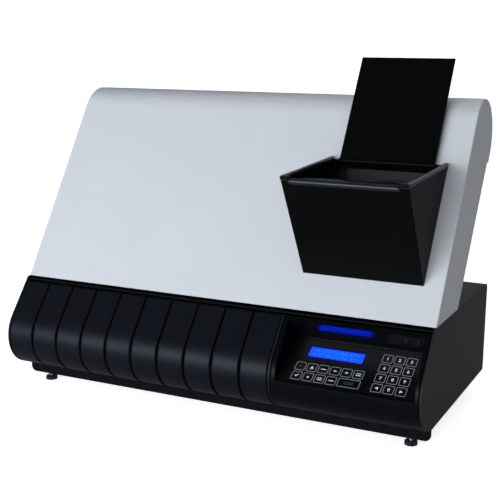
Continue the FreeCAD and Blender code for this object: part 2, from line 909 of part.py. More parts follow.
# Feed disc with a ring of coin seats, on its shaft, bearing and geared motor
def make_feed():
    body = new_body("feed_disc")
    rim = ("0", "0", "disc_radius")
    bore = ("0", "0", "shaft_radius")
    pad(body, draw(body, "XY_Plane", circles=[rim, bore]), "disc_sheet")
    outline = draw(body, "XY_Plane", circles=[("seat_ring", "0", "seat_radius")])
    seat = pocket(body, outline, "seat_depth", both=False, back=True)
    doc.recompute()
    ring = body.newObject("PartDesign::PolarPattern", "seat_ring")
    ring.Originals = [seat]
    ring.Axis = (outline, ["N_Axis"])
    ring.Angle = 360
    ring.Occurrences = seat_count
    body.Tip = ring
    place(body, "hopper_x", *lean_point("disc_front", "feed_along"), lean_through)
    node(body, "feed_disc")
    start = ("hopper_x", *lean_point("disc_front", "feed_along"))
    length = "deck_back + shaft_tail - disc_front"
    node(rod("shaft", start, "shaft_radius", length, lean_through), "feed_shaft")
    start = ("hopper_x", *lean_point("deck_setback", "feed_along"))
    ring = rod("bearing_ring", start, "bearing_radius", "deck_sheet", lean_through)
    hole = rod("bearing_hole", start, "shaft_radius + running_fit", "deck_sheet", lean_through)
    node(cut("bearing", ring, hole), "feed_bearing")
    start = ("hopper_x", *lean_point("deck_back", "feed_along"))
    case = rod("motor_case", start, "feed_motor_radius", "feed_motor_length", lean_through)
    bore = rod("motor_bore", start, "shaft_radius + running_fit", "shaft_tail + seam", lean_through)
    node(cut("motor", case, bore), "feed_motor")


# Coin bowl: an open-topped ring wall in front of the feed disc
def make_bowl():
    start = ("hopper_x", *lean_point("bowl_front", "feed_along"))
    depth = "deck_setback - bowl_front"
    wall = rod("bowl_wall", start, "bowl_radius + bowl_wall", depth, lean_through)
    inside = rod("bowl_inside", start, "bowl_radius", depth, lean_through)
    reach = "2 * (bowl_radius + bowl_wall)"
    above = lean_block(
        "bowl_above", "hopper_x - bowl_radius - bowl_wall", "0", "feed_along + bowl_rise",
        (reach, "2 * deck_setback", reach),
    )
    node(cut("bowl", wall, inside, above), "coin_bowl")


# Transport belt, its two pulleys, their axles and brackets, and the belt motor
def racetrack(extra):
    radius = f"(pulley_radius + belt_slack + {extra})"
    return [
        ("drive_x", f"belt_t - {radius}"),
        ("idler_x", f"belt_t - {radius}", radius),
        (f"idler_x + {radius}", "belt_t", radius),
        ("idler_x", f"belt_t + {radius}"),
        ("drive_x", f"belt_t + {radius}", radius),
        (f"drive_x - {radius}", "belt_t", radius),
    ]


def make_pulley(label, x, bore):
    body = new_body(label)
    outline = [
        (bore, "-flange_sheet"),
        ("pulley_flange", "-flange_sheet"),
        ("pulley_flange", "0"),
        ("pulley_radius", "0"),
        ("pulley_radius", "belt_width"),
        ("pulley_flange", "belt_width"),
        ("pulley_flange", "belt_width + flange_sheet"),
        (bore, "belt_width + flange_sheet"),
    ]
    sketch = draw(body, "XZ_Plane", [outline])
    turn = body.newObject("PartDesign::Revolution", f"{label}_turn")
    turn.Profile = sketch
    turn.ReferenceAxis = (sketch, ["V_Axis"])
    turn.Angle = 360
    place(body, x, *lean_point("belt_t", "belt_low"), lean_angle)
    node(body, label)


def make_bracket(x):
    plate = lean_block(
        "bracket_plate", f"{x} - bracket_half", "belt_t - bracket_half", "bracket_s",
        ("2 * bracket_half", "deck_setback - belt_t + bracket_half", "bracket_sheet"),
    )
    start = (x, *lean_point("belt_t", "bracket_s"))
    hole = rod("bracket_hole", start, "axle_radius + running_fit", "bracket_sheet", lean_angle)
    return cut("bracket", plate, hole)


def make_belt():
    body = new_body("belt")
    loops = [racetrack("belt_sheet"), racetrack("0")]
    inset = "belt_slack"
    pad(body, draw(body, "XY_Plane", loops, depth=f"belt_low + {inset}"), f"belt_width - 2 * {inset}")
    place(body, "0", "hood_y", "hood_z", lean_angle)
    node(body, "transport_belt")
    make_pulley("drive_pulley", "drive_x", "axle_radius")
    make_pulley("idler_pulley", "idler_x", "axle_radius + running_fit")
    low = "belt_low - flange_sheet"
    top = "bracket_s + bracket_sheet"
    start = ("drive_x", *lean_point("belt_t", low))
    shaft = rod("belt_shaft", start, "axle_radius", f"{top} + shaft_tail - ({low})", lean_angle)
    node(shaft, "drive_shaft")
    start = ("idler_x", *lean_point("belt_t", low))
    node(rod("axle", start, "axle_radius", f"{top} - ({low})", lean_angle), "idler_axle")
    node(group("brackets", [make_bracket("drive_x"), make_bracket("idler_x")]), "pulley_brackets")
    start = ("drive_x", *lean_point("belt_t", top))
    case = rod("belt_motor_case", start, "belt_motor_radius", "belt_motor_length", lean_angle)
    bore = rod("belt_motor_bore", start, "axle_radius + running_fit", "shaft_tail + seam", lean_angle)
    node(cut("belt_motor_body", case, bore), "belt_motor")


# Sensor head: a block held over the coin path by a foot on the deck
def make_sensor():
    head = lean_block(
        "sensor_block", "sensor_x", "deck_setback - coin_path - sensor_depth", "rail_along + coin_path",
        ("sensor_width", "sensor_depth", "sensor_height + coin_path"),
    )
    foot = lean_block(
        "sensor_foot", "sensor_x", "deck_setback - coin_path - sensor_depth",
        "rail_along + coin_path + sensor_height",
        ("sensor_width", "coin_path + sensor_depth", "sensor_depth"),
    )
    node(fuse("sensor", head, foot), "sensor_head")


# Hood: a leaning sheet shell with a full round top, open behind and below
def make_hood():
    body = new_body("hood")
    crest = "hood_crown + hood_radius"
    outer = [
        ("0", "0"),
        ("back_edge_low", "back_edge_low * tan(hood_lean)"),
        ("back_edge_top", "hood_skirt"),
        ("hood_depth", "hood_skirt"),
        ("hood_depth", "hood_crown", "hood_radius"),
        ("hood_radius", crest, "hood_radius"),
        ("0", "hood_crown"),
    ]
    pad(body, draw(body, "YZ_Plane", [outer]), "body_width", both=True)
    radius = "(hood_radius - hood_sheet)"
    spare = "hood_depth / 4"
    inner = [
        ("hood_sheet", f"-{spare}"),
        (f"hood_depth + {spare}", f"-{spare}"),
        (f"hood_depth + {spare}", "hood_skirt"),
        ("hood_depth - hood_sheet", "hood_skirt"),
        ("hood_depth - hood_sheet", "hood_crown", radius),
        ("hood_radius", f"{crest} - hood_sheet", radius),
        ("hood_sheet", "hood_crown"),
    ]
    pocket(body, draw(body, "YZ_Plane", [inner]), "body_width - 2 * side_sheet")
    half = "(hopper_width / 2 - mouth_inset)"
    mouth = rectangle(f"hopper_x - {half}", "mouth_low", f"hopper_x + {half}", "mouth_high")
    pocket(body, draw(body, "XZ_Plane", [mouth]), "4 * hood_sheet")
    side = value("body_width / 2")
    crown = value("hood_crown")
    middle = value("hood_radius")

    def on_rim(spot):
        on_face = abs(spot.y) < near and spot.z < crown + near
        on_crown = abs(math.hypot(spot.y - middle, spot.z - crown) - middle) < near
        return abs(abs(spot.x) - side) < near and (on_face or on_crown and spot.z > crown - near)

    round_edges(body, on_rim, "hood_round")
    place(body, "0", "hood_y", "hood_z", lean_angle)
    node(body, "hood_shell")


# Hood hinge: two ears inside the hood's skirt turn on pins in the frame plates
def make_hinge_ear(x):
    body = new_body("hinge_ear")
    skirt = "hood_depth - hood_sheet"
    outline = [
        ("hinge_across - hinge_boss", "hinge_along - hinge_boss"),
        ("hinge_across + hinge_boss", "hinge_along - hinge_boss"),
        (skirt, "hood_skirt"),
        (skirt, "hood_crown"),
        ("hinge_across - hinge_boss", "hinge_along + hinge_boss"),
    ]
    hole = ("hinge_across", "hinge_along", "hinge_pin_radius + running_fit")
    pad(body, draw(body, "YZ_Plane", [outline], [hole]), "hinge_ear", both=True)
    place(body, x, "hood_y", "hood_z", lean_angle)
    return body


def make_hinges():
    middle = "(frame_x - hinge_gap - hinge_ear / 2)"
    node(group("ears", [make_hinge_ear(f"-{middle}"), make_hinge_ear(middle)]), "hood_hinge_ears")
    length = "sheet + 2 * hinge_gap + hinge_ear"
    spot = lean_point("hinge_across", "hinge_along")
    pins = [cross_rod("hinge_pin", x, *spot, "hinge_pin_radius", length)
            for x in ("-inner_half", f"inner_half - ({length})")]
    node(group("pins", pins), "hood_hinge_pins")


# Hopper: a wedge of two side walls and a front wall, with beaded lips and bores for the lid's pin
lid_axis = lean_point("-lid_out", "lid_along")


def make_hopper():
    body = new_body("hopper")
    wedge = [("0", "hopper_foot"), ("0", "hopper_head"), ("rim_t", "rim_s")]
    pad(body, draw(body, "YZ_Plane", [wedge]), "hopper_width", both=True)
    spare = "hopper_depth / 8"
    far = f"(rim_t - {spare})"
    inside = "hopper_foot + wall_shift - ({0}) * wall_slope"
    hollow = [
        (spare, inside.format(spare)),
        (spare, f"hopper_head + {spare}"),
        (far, f"hopper_head + {spare}"),
        (far, inside.format(far)),
    ]
    pocket(body, draw(body, "YZ_Plane", [hollow]), "hopper_width - 2 * hopper_wall")
    place(body, "hopper_x", "hood_y", "hood_z", lean_angle)
    slant = "90 + rim_tilt"
    back_y, back_z = lean_point("0", "hopper_head")
    front_y, front_z = lean_point("rim_t", "rim_s")
    pieces = [body]
    for sign in ("-", "+"):
        x = f"hopper_x {sign} (hopper_width / 2 - lip_radius)"
        start = (x, f"{back_y} - lip_radius", f"{back_z} - lip_radius * tan(rim_tilt)")
        length = "hopper_depth / cos(rim_tilt) - lip_radius"
        pieces.append(rod("side_lip", start, "lip_radius", length, slant))
        ball = doc.addObject("Part::Sphere", "lip_corner")
        bind(ball, "Radius", "lip_radius")
        place(ball, x, front_y, front_z)
        pieces.append(ball)
    left = "hopper_x - hopper_width / 2 + lip_radius"
    right = "hopper_x + hopper_width / 2 - lip_return"
    turn = "lip_return - lip_radius"
    pieces.append(cross_rod("left_return", left, front_y, front_z, "lip_radius", turn))
    pieces.append(cross_rod("right_return", right, front_y, front_z, "lip_radius", turn))
    drop_t = "rim_t - lip_step * rim_t / hopper_depth"
    drop_s = "rim_s - lip_step * (rim_s - hopper_foot) / hopper_depth"
    front_left = "hopper_x - hopper_width / 2 + lip_return"
    width = "hopper_width - 2 * lip_return"
    pieces.append(cross_rod("front_lip", front_left, *lean_point(drop_t, drop_s), "lip_radius", width))
    pin_left = "hopper_x - hopper_width / 2"
    bore = cross_rod("pin_bore", pin_left, *lid_axis, "lid_pin_radius", "hopper_width")
    node(cut("hopper_shell", fuse("hopper_wedge", *pieces), bore), "hopper_body")


# Hopper tray: a bent sheet with a flat shelf and a ramp into the hood's mouth
def make_tray():
    body = new_body("tray")
    foot_t = "-tray_fit"
    foot_s = "mouth_low + tray_sheet"
    outline = [
        ("shelf_t", "shelf_s"),
        ("ramp_t", "ramp_s"),
        (foot_t, foot_s),
        (f"{foot_t} - tray_sheet * sin(hood_lean)", f"{foot_s} - tray_sheet * cos(hood_lean)"),
        ("ramp_t", "ramp_s - tray_sheet * 1.2"),
        ("shelf_t + tray_sheet * sin(hood_lean)", "shelf_s - tray_sheet * cos(hood_lean)"),
    ]
    pad(body, draw(body, "YZ_Plane", [outline]), "hopper_width - 2 * hopper_wall - 2 * tray_fit", both=True)
    place(body, "hopper_x", "hood_y", "hood_z", lean_angle)
    node(body, "hopper_tray")


# Hopper lid on its pin, standing open against two bumpers on the hood
def make_lid():
    body = new_body("lid")
    plate = rectangle("-lid_sheet / 2", "0", "lid_sheet / 2", "lid_length")
    pad(body, draw(body, "YZ_Plane", [plate]), "lid_width", both=True)
    barrel = draw(body, "YZ_Plane", circles=[("0", "0", "lid_barrel")])
    pad(body, barrel, "lid_width", both=True)
    bore = draw(body, "YZ_Plane", circles=[("0", "0", "lid_pin_radius + running_fit")])
    pocket(body, bore, "2 * lid_width")
    place(body, "hopper_x", *lid_axis, "-lid_lean")
    node(body, "hopper_lid")
    left = "hopper_x - hopper_width / 2"
    pin = cross_rod("lid_pin", left, *lid_axis, "lid_pin_radius", "hopper_width")
    node(pin, "lid_hinge_pin")
    lift = "(bumper_along - lid_along) * tan(hood_lean - lid_lean)"
    height = f"(lid_out + {lift} - lid_sheet / 2 - bumper_gap)"
    bumpers = []
    for sign in ("-", "+"):
        start = (f"hopper_x {sign} bumper_spread", *lean_point(f"-{height}", "bumper_along"))
        bumpers.append(rod("bumper", start, "bumper_radius", height, lean_through))
    node(group("bumpers", bumpers), "lid_bumpers")


# Mains inlet and rocker switch in the rear panel
def make_inlet():
    x = "inlet_x - inlet_width / 2"
    z = "inlet_z - inlet_height / 2"
    case = block("inlet_case", (x, "rear_y - inlet_depth", z), ("inlet_width", "inlet_depth", "inlet_height"))
    flange = block(
        "inlet_rim", (f"{x} - inlet_flange", "rear_y", f"{z} - inlet_flange"),
        ("inlet_width + 2 * inlet_flange", "bezel_sheet", "inlet_height + 2 * inlet_flange"),
    )
    cavity = block(
        "inlet_cavity", (f"{x} + inlet_wall", "rear_y - inlet_depth + inlet_wall", f"{z} + inlet_wall"),
        ("inlet_width - 2 * inlet_wall", "2 * inlet_depth", "inlet_height - 2 * inlet_wall"),
    )
    socket = cut("inlet_socket", fuse("inlet_blank", case, flange), cavity)
    pins = []
    for step, rise in ((-1, "-1"), (0, "1"), (1, "-1")):
        corner = (
            f"inlet_x + {step} * pin_gap - inlet_wall / 2", "rear_y - inlet_depth + inlet_wall / 2",
            f"inlet_z + {rise} * inlet_wall - inlet_wall",
        )
        pins.append(block("inlet_pin", corner, ("inlet_wall", "pin_length", "2 * inlet_wall")))
    node(fuse("inlet", socket, *pins), "power_inlet")


def make_switch():
    x = "inlet_x - switch_width / 2"
    z = "switch_z - switch_height / 2"
    depth = "inlet_depth"
    case = block("switch_case", (x, f"rear_y - {depth}", z), ("switch_width", depth, "switch_height"))
    bezel = block(
        "switch_bezel", (f"{x} - switch_wall", "rear_y", f"{z} - switch_wall"),
        ("switch_width + 2 * switch_wall", "bezel_sheet", "switch_height + 2 * switch_wall"),
    )
    well = block(
        "switch_well", (f"{x} + switch_wall", "rear_y - 2 * rocker_depth", f"{z} + switch_wall"),
        ("switch_width - 2 * switch_wall", "4 * rocker_depth", "switch_height - 2 * switch_wall"),
    )
    pivot_y = "rear_y - rocker_depth / 2"
    hole = cross_rod("switch_hole", x, pivot_y, "switch_z", "trunnion_radius + running_fit", "switch_width")
    node(cut("switch_shell", fuse("switch_blank", case, bezel), well, hole), "switch_frame")
    body = new_body("rocker")
    reach = "(switch_height / 2 - switch_wall - 2 * rocker_gap)"
    face = "rocker_depth * 0.8"
    outline = [
        ("-rocker_depth / 2", f"-{reach}"),
        (face, f"-{reach}"),
        ("rocker_depth * 0.55", "0"),
        (face, reach),
        ("-rocker_depth / 2", reach),
    ]
    rocker_width = "switch_width - 2 * switch_wall - 2 * rocker_gap"
    pad(body, draw(body, "YZ_Plane", [outline]), rocker_width, both=True)
    trunnion = draw(body, "YZ_Plane", circles=[("0", "0", "trunnion_radius")])
    pad(body, trunnion, "switch_width - switch_wall", both=True)
    place(body, "inlet_x", pivot_y, "switch_z", "rocker_tilt")
    node(body, "switch_rocker")


# Power supply and main board on the floor of the rear bay
def make_electrics():
    corner = ("supply_x", "bay_back - supply_depth", "pan_top")
    case = block("supply_case", corner, ("supply_width", "supply_depth", "supply_height"))
    inner = ("supply_x + sheet", "bay_back - supply_depth + sheet", "pan_top")
    spans = ("supply_width - 2 * sheet", "supply_depth - 2 * sheet", "supply_height - sheet")
    node(cut("supply_cover", case, block("supply_inside", inner, spans)), "power_supply")
    corner = ("main_board_x", "bay_back - main_board_depth", "board_z")
    board = block("main_board_plate", corner, ("main_board_width", "main_board_depth", "board_sheet"))
    node(board, "main_board")
    posts = []
    for x in ("standoff_inset", "main_board_width - standoff_inset"):
        for y in ("standoff_inset", "main_board_depth - standoff_inset"):
            start = (f"main_board_x + {x}", f"bay_back - main_board_depth + {y}", "pan_top")
            posts.append(rod("standoff", start, "standoff_radius", "standoff_height"))
    node(group("standoffs", posts), "board_standoffs")


# Pan-head screws round the rear panel
def make_screws():
    screws = []
    for x in ("-inner_half + screw_inset", "0", "inner_half - screw_inset"):
        for z in ("pan_top + screw_inset", "rear_top - screw_inset"):
            screws.append(rod("screw", (x, "rear_y", z), "screw_radius", "screw_head", "-90"))
    node(group("screws", screws), "rear_screws")


make_base_pan()
make_side_panel("side_panel_left", "-body_width / 2")
make_side_panel("side_panel_right", "body_width / 2 - side_sheet")
make_top_deck()
make_front_rail()
make_bay_wall()
make_rear_panel()
make_feet()
for number in range(box_count):
    make_coin_box(number)
make_box_guides()
make_box_divider()
make_console()
make_keypad()
make_frame_plate("frame_left", "-inner_half")
make_frame_plate("frame_right", "frame_x")
make_sorting_deck()
make_rear_cover()
make_lanes()
make_feed()
make_bowl()
make_belt()
make_sensor()
make_hood()
make_hinges()
make_hopper()
make_tray()
make_lid()
make_inlet()
make_switch()
make_electrics()
make_screws()
doc.recompute()

# Nothing is written unless every object is sound
for thing in doc.Objects:
    if "Invalid" in thing.State or "Error" in thing.State:
        raise RuntimeError(f"{thing.Label} failed: {thing.State}")
for thing in nodes:
    if thing.Shape.isNull() or not thing.Shape.isValid():
        raise RuntimeError(f"{thing.Label} has no sound shape")

os.makedirs("parts", exist_ok=True)
for thing in nodes:
    thing.Shape.exportStep(f"parts/{thing.Label}.step")
    print(f"{thing.Label}: {len(thing.Shape.Solids)} solid, {thing.Shape.Volume / 1000:.1f} cm3")
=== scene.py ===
import json
import math

import bmesh
import bpy
from mathutils import Matrix, Vector


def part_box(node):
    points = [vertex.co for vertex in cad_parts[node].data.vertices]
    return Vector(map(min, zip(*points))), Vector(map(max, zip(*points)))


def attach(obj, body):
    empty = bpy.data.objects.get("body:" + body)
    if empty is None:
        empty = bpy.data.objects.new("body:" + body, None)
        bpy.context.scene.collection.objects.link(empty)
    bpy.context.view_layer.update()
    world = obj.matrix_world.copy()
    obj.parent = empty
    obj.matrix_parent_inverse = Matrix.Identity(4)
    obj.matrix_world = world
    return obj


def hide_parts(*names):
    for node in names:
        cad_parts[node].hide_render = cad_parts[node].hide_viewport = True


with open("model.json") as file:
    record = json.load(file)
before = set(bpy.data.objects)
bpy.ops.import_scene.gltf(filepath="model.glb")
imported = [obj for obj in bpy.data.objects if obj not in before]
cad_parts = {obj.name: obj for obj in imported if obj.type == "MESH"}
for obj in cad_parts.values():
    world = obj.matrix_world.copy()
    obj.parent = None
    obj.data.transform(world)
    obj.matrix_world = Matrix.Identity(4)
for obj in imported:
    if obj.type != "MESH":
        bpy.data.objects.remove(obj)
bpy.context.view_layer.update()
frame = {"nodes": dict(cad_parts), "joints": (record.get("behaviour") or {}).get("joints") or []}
nodes = frame["nodes"]
print("frame loaded:", len(nodes), "nodes")


# shared helpers

def linearColour(hexText):  # sRGB hex to a linear colour, opaque
    parts = [int(hexText[i:i + 2], 16) / 255 for i in (1, 3, 5)]
    return [c / 12.92 if c <= 0.04045 else ((c + 0.055) / 1.055) ** 2.4 for c in parts] + [1.0]


def perMetre(millimetres):  # pattern size in mm to a texture scale on Object coordinates
    return 1000 / millimetres


def addNode(tree, kind, inputs=None, **settings):
    made = tree.nodes.new(kind)
    for name, setting in settings.items():
        setattr(made, name, setting)
    for key, given in (inputs or {}).items():
        if isinstance(given, bpy.types.NodeSocket):
            tree.links.new(given, made.inputs[key])
        else:
            made.inputs[key].default_value = given
    return made


def newMaterial(name):
    made = bpy.data.materials.new(name)
    made.use_nodes = True
    made.node_tree.nodes.clear()
    return made, made.node_tree


def closeMaterial(tree, shader):
    addNode(tree, "ShaderNodeOutputMaterial", {"Surface": shader.outputs[0]})


def linkPiece(name, mesh, material=None):
    piece = bpy.data.objects.new(name, mesh)
    bpy.context.scene.collection.objects.link(piece)
    if material:
        piece.data.materials.clear()
        piece.data.materials.append(material)
    return piece


def meshFrom(name, work):
    bmesh.ops.recalc_face_normals(work, faces=work.faces)
    mesh = bpy.data.meshes.new(name)
    work.to_mesh(mesh)
    work.free()
    return mesh


def smoothFaces(mesh, sharpDegrees=35):
    mesh.polygons.foreach_set("use_smooth", [True] * len(mesh.polygons))
    mesh.set_sharp_from_angle(angle=math.radians(sharpDegrees))


def rideOn(piece, body):
    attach(piece, body)


# materials

mixA, mixB, mixed = 6, 7, 2  # a colour Mix node's two inputs and its result
noise = {"cloudDetail": 3.0, "grainDetail": 2.0, "scratchDetail": 4.0, "low": 0.3, "high": 0.7}
bumpStrength = {"grained": 0.6, "drawn": 0.4, "polished": 0.3}


def shadedEdges(tree, place, tone, edges):
    # painted shade: the rounded rims of the box fronts turn away from the light, so their last millimetres
    # are painted dark, and so is a band at the top of each box, just under the console's top
    axes = addNode(tree, "ShaderNodeSeparateXYZ", {"Vector": place}).outputs
    across = addNode(tree, "ShaderNodeMath", {0: axes["X"], 1: edges["gapMiddle"]}, operation="SUBTRACT")
    fromGap = addNode(tree, "ShaderNodeMath", {
        0: across.outputs[0], 1: edges["pitch"] / 2}, operation="PINGPONG")
    side = addNode(tree, "ShaderNodeMapRange", {
        "Value": fromGap.outputs[0], "From Min": edges["sideStart"], "From Max": edges["sideEnd"]},
        interpolation_type="SMOOTHSTEP")
    top = addNode(tree, "ShaderNodeMapRange", {
        "Value": axes["Z"], "From Min": edges["top"], "From Max": edges["top"] - edges["topReach"]},
        interpolation_type="SMOOTHSTEP")
    unshaded = addNode(tree, "ShaderNodeMath", {
        0: side.outputs[0], 1: top.outputs[0]}, operation="MULTIPLY").outputs[0]
    shaded = addNode(tree, "ShaderNodeMix", {
        "Factor": unshaded, mixA: linearColour(edges["shade"]), mixB: tone}, data_type="RGBA")
    return shaded.outputs[mixed], unshaded


def grainedFinish(name, tones, grainMm, cloudMm, rough, bumpMm, specular=0.5, sheen="#ffffff", edges=None):
    # two close tones in soft clouds, fine grain in the bump and in the gloss
    light, dark = tones
    made, tree = newMaterial(name)
    place = addNode(tree, "ShaderNodeTexCoord").outputs["Object"]
    cloud = addNode(tree, "ShaderNodeTexNoise", {
        "Vector": place, "Scale": perMetre(cloudMm), "Detail": noise["cloudDetail"]})
    grain = addNode(tree, "ShaderNodeTexNoise", {
        "Vector": place, "Scale": perMetre(grainMm), "Detail": noise["grainDetail"]})
    tone = addNode(tree, "ShaderNodeMix", {
        "Factor": cloud.outputs["Fac"], mixA: linearColour(dark), mixB: linearColour(light)},
        data_type="RGBA")
    gloss = addNode(tree, "ShaderNodeMapRange", {
        "Value": grain.outputs["Fac"], "From Min": noise["low"], "From Max": noise["high"],
        "To Min": rough[0], "To Max": rough[1]})
    bump = addNode(tree, "ShaderNodeBump", {
        "Height": grain.outputs["Fac"], "Strength": bumpStrength["grained"], "Distance": bumpMm / 1000})
    colour, roughness = tone.outputs[mixed], gloss.outputs[0]
    # painted shade on the box fronts: darker and rougher at the rims and along the top
    if edges:
        colour, unshaded = shadedEdges(tree, place, colour, edges)
        roughness = addNode(tree, "ShaderNodeMix", {
            "Factor": unshaded, "A": edges["rough"], "B": roughness}).outputs[0]
    shader = addNode(tree, "ShaderNodeBsdfPrincipled", {
        "Base Color": colour, "Roughness": roughness, "Normal": bump.outputs[0],
        "Specular Tint": linearColour(sheen), "Specular IOR Level": specular})
    closeMaterial(tree, shader)
    return made


def screenInk(name, *tones):
    # a thin dry print: flat colour, duller than the film that it lies on
    return grainedFinish(name, tones, grainMm=0.3, cloudMm=6, rough=(0.5, 0.6), bumpMm=0.01)


def drawnMetal(name, tones, grainMm, stretch, rough, bumpMm, cloudMm=60):
    # fine scratches drawn out one way, as rolling or turning leaves them
    light, dark = tones
    made, tree = newMaterial(name)
    place = addNode(tree, "ShaderNodeTexCoord").outputs["Object"]
    drawn = addNode(tree, "ShaderNodeMapping", {"Vector": place, "Scale": stretch})
    lines = addNode(tree, "ShaderNodeTexNoise", {
        "Vector": drawn.outputs[0], "Scale": perMetre(grainMm), "Detail": noise["scratchDetail"]})
    cloud = addNode(tree, "ShaderNodeTexNoise", {
        "Vector": place, "Scale": perMetre(cloudMm), "Detail": noise["grainDetail"]})
    tone = addNode(tree, "ShaderNodeMix", {
        "Factor": lines.outputs["Fac"], mixA: linearColour(dark), mixB: linearColour(light)},
        data_type="RGBA")
    gloss = addNode(tree, "ShaderNodeMapRange", {
        "Value": cloud.outputs["Fac"], "From Min": noise["low"], "From Max": noise["high"],
        "To Min": rough[0], "To Max": rough[1]})
    bump = addNode(tree, "ShaderNodeBump", {
        "Height": lines.outputs["Fac"], "Strength": bumpStrength["drawn"], "Distance": bumpMm / 1000})
    shader = addNode(tree, "ShaderNodeBsdfPrincipled", {
        "Base Color": tone.outputs[mixed], "Metallic": 1.0, "Roughness": gloss.outputs[0],
        "Normal": bump.outputs[0]})
    closeMaterial(tree, shader)
    return made


def consoleFinish(name, look):
    # the boxes' plastic, but polished: satin on the nose, and near-mirror on the wall behind the desk
    made, tree = newMaterial(name)
    place = addNode(tree, "ShaderNodeTexCoord").outputs["Object"]
    cloud = addNode(tree, "ShaderNodeTexNoise", {
        "Vector": place, "Scale": perMetre(look["cloudMm"]), "Detail": noise["cloudDetail"]})
    grain = addNode(tree, "ShaderNodeTexNoise", {
        "Vector": place, "Scale": perMetre(look["grainMm"]), "Detail": noise["grainDetail"]})
    tone = addNode(tree, "ShaderNodeMix", {
        "Factor": cloud.outputs["Fac"], mixA: linearColour(look["dark"]), mixB: linearColour(look["light"])},
        data_type="RGBA")
    axes = addNode(tree, "ShaderNodeSeparateXYZ", {"Vector": place}).outputs
    fromMiddle = addNode(tree, "ShaderNodeMath", {0: axes["X"], 1: look["wallMiddle"]}, operation="SUBTRACT")
    aside = addNode(tree, "ShaderNodeMath", {0: fromMiddle.outputs[0]}, operation="ABSOLUTE")
    limits = [(axes["Z"], look["wallLow"], 1), (axes["Z"], look["wallHigh"], -1),
              (aside.outputs[0], look["wallHalf"], -1)]  # value, where the wall starts, and which way it lies
    masks = [addNode(tree, "ShaderNodeMapRange", {
        "Value": value, "From Min": start, "From Max": start + way * look["blend"]}).outputs[0]
        for value, start, way in limits]
    upright = addNode(tree, "ShaderNodeMath", {0: masks[0], 1: masks[1]}, operation="MULTIPLY")
    polish = addNode(tree, "ShaderNodeMath", {0: upright.outputs[0], 1: masks[2]}, operation="MULTIPLY")
    facing = addNode(tree, "ShaderNodeNewGeometry").outputs["Normal"]
    tipped = addNode(tree, "ShaderNodeVectorMath", {0: facing, 1: (0, 0, look["tip"])}, operation="ADD")
    leaning = addNode(tree, "ShaderNodeVectorMath", {0: tipped.outputs[0]}, operation="NORMALIZE")
    ripple = addNode(tree, "ShaderNodeMapRange", {
        "Value": grain.outputs["Fac"], "To Min": look["rough"][0], "To Max": look["rough"][1]})
    bump = addNode(tree, "ShaderNodeBump", {
        "Height": grain.outputs["Fac"], "Strength": bumpStrength["polished"],
        "Distance": look["bumpMm"] / 1000})
    shader = addNode(tree, "ShaderNodeBsdfPrincipled", {
        "Base Color": tone.outputs[mixed], "Roughness": ripple.outputs[0], "Normal": bump.outputs[0],
        "Specular IOR Level": look["specular"], "Coat Weight": polish.outputs[0],
        "Coat Roughness": look["coatRough"], "Coat Normal": leaning.outputs[0]})
    closeMaterial(tree, shader)
    return made


acrylic = {"rough": 0.12, "specular": 0.12, "fade": 0.03}


def litWindow(name, look):
    # acrylic over a backlight: brightest in the middle, deeper blue towards the edges, dark above litTop
    made, tree = newMaterial(name)
    place = addNode(tree, "ShaderNodeTexCoord").outputs["Object"]
    centred = addNode(tree, "ShaderNodeMapping", {
        "Vector": place, "Location": look["centre"], "Rotation": (look["lean"], 0, 0),
        "Scale": look["reach"]}, vector_type="TEXTURE")
    glow = addNode(tree, "ShaderNodeTexGradient", {"Vector": centred.outputs[0]}, gradient_type="SPHERICAL")
    tone = addNode(tree, "ShaderNodeMix", {
        "Factor": glow.outputs["Fac"], mixA: linearColour(look["edge"]), mixB: linearColour(look["middle"])},
        data_type="RGBA")
    along = addNode(tree, "ShaderNodeSeparateXYZ", {"Vector": centred.outputs[0]}).outputs["Y"]
    lit = addNode(tree, "ShaderNodeMapRange", {
        "Value": along, "From Min": look["litTop"] - acrylic["fade"], "From Max": look["litTop"],
        "To Min": look["strength"], "To Max": 0.0})
    shader = addNode(tree, "ShaderNodeBsdfPrincipled", {
        "Base Color": linearColour(look["glass"]), "Roughness": acrylic["rough"],
        "Specular IOR Level": acrylic["specular"],
        "Emission Color": tone.outputs[mixed], "Emission Strength": lit.outputs[0]})
    closeMaterial(tree, shader)
    return made


boxLow, boxHigh = (Vector(corner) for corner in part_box("coin_box_01"))
nextLow = Vector(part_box("coin_box_02")[0])
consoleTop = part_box("console_housing")[1][2]
# where the painted shade falls: beside each gap between the boxes, and in a band under the console's top
boxEdgeShade = {
    "gapMiddle": (boxHigh.x + nextLow.x) / 2, "pitch": nextLow.x - boxLow.x, "sideStart": 0.0023,
    "sideEnd": 0.0042, "top": consoleTop, "topReach": 0.006, "shade": "#010102", "rough": 0.95,
}

# grain finer than about half a millimetre wouldn't show even close up, so it is drawn that coarse

# pale powder coat: an even soft glow over a faint orange peel
hoodPaint = grainedFinish(
    "powderCoatPaleGrey", ("#c3c6c9", "#bdc0c3"), grainMm=0.9, cloudMm=140, rough=(0.44, 0.54), bumpMm=0.05)
# coarse black powder coat: a dull, slightly warm black that hardly mirrors
baseCoat = grainedFinish(
    "powderCoatBlackTexture", ("#211a1c", "#1c1618"), grainMm=0.8, cloudMm=70, rough=(0.5, 0.66), bumpMm=0.12,
    specular=0.16)
# finer black powder coat, darker than the base's: painted shade, so that the apron and the ledge draw back
panCoat = grainedFinish(
    "powderCoatBlackFineShade", ("#07080b", "#050609"), grainMm=0.8, cloudMm=70, rough=(0.5, 0.62), bumpMm=0.1,
    specular=0.05)
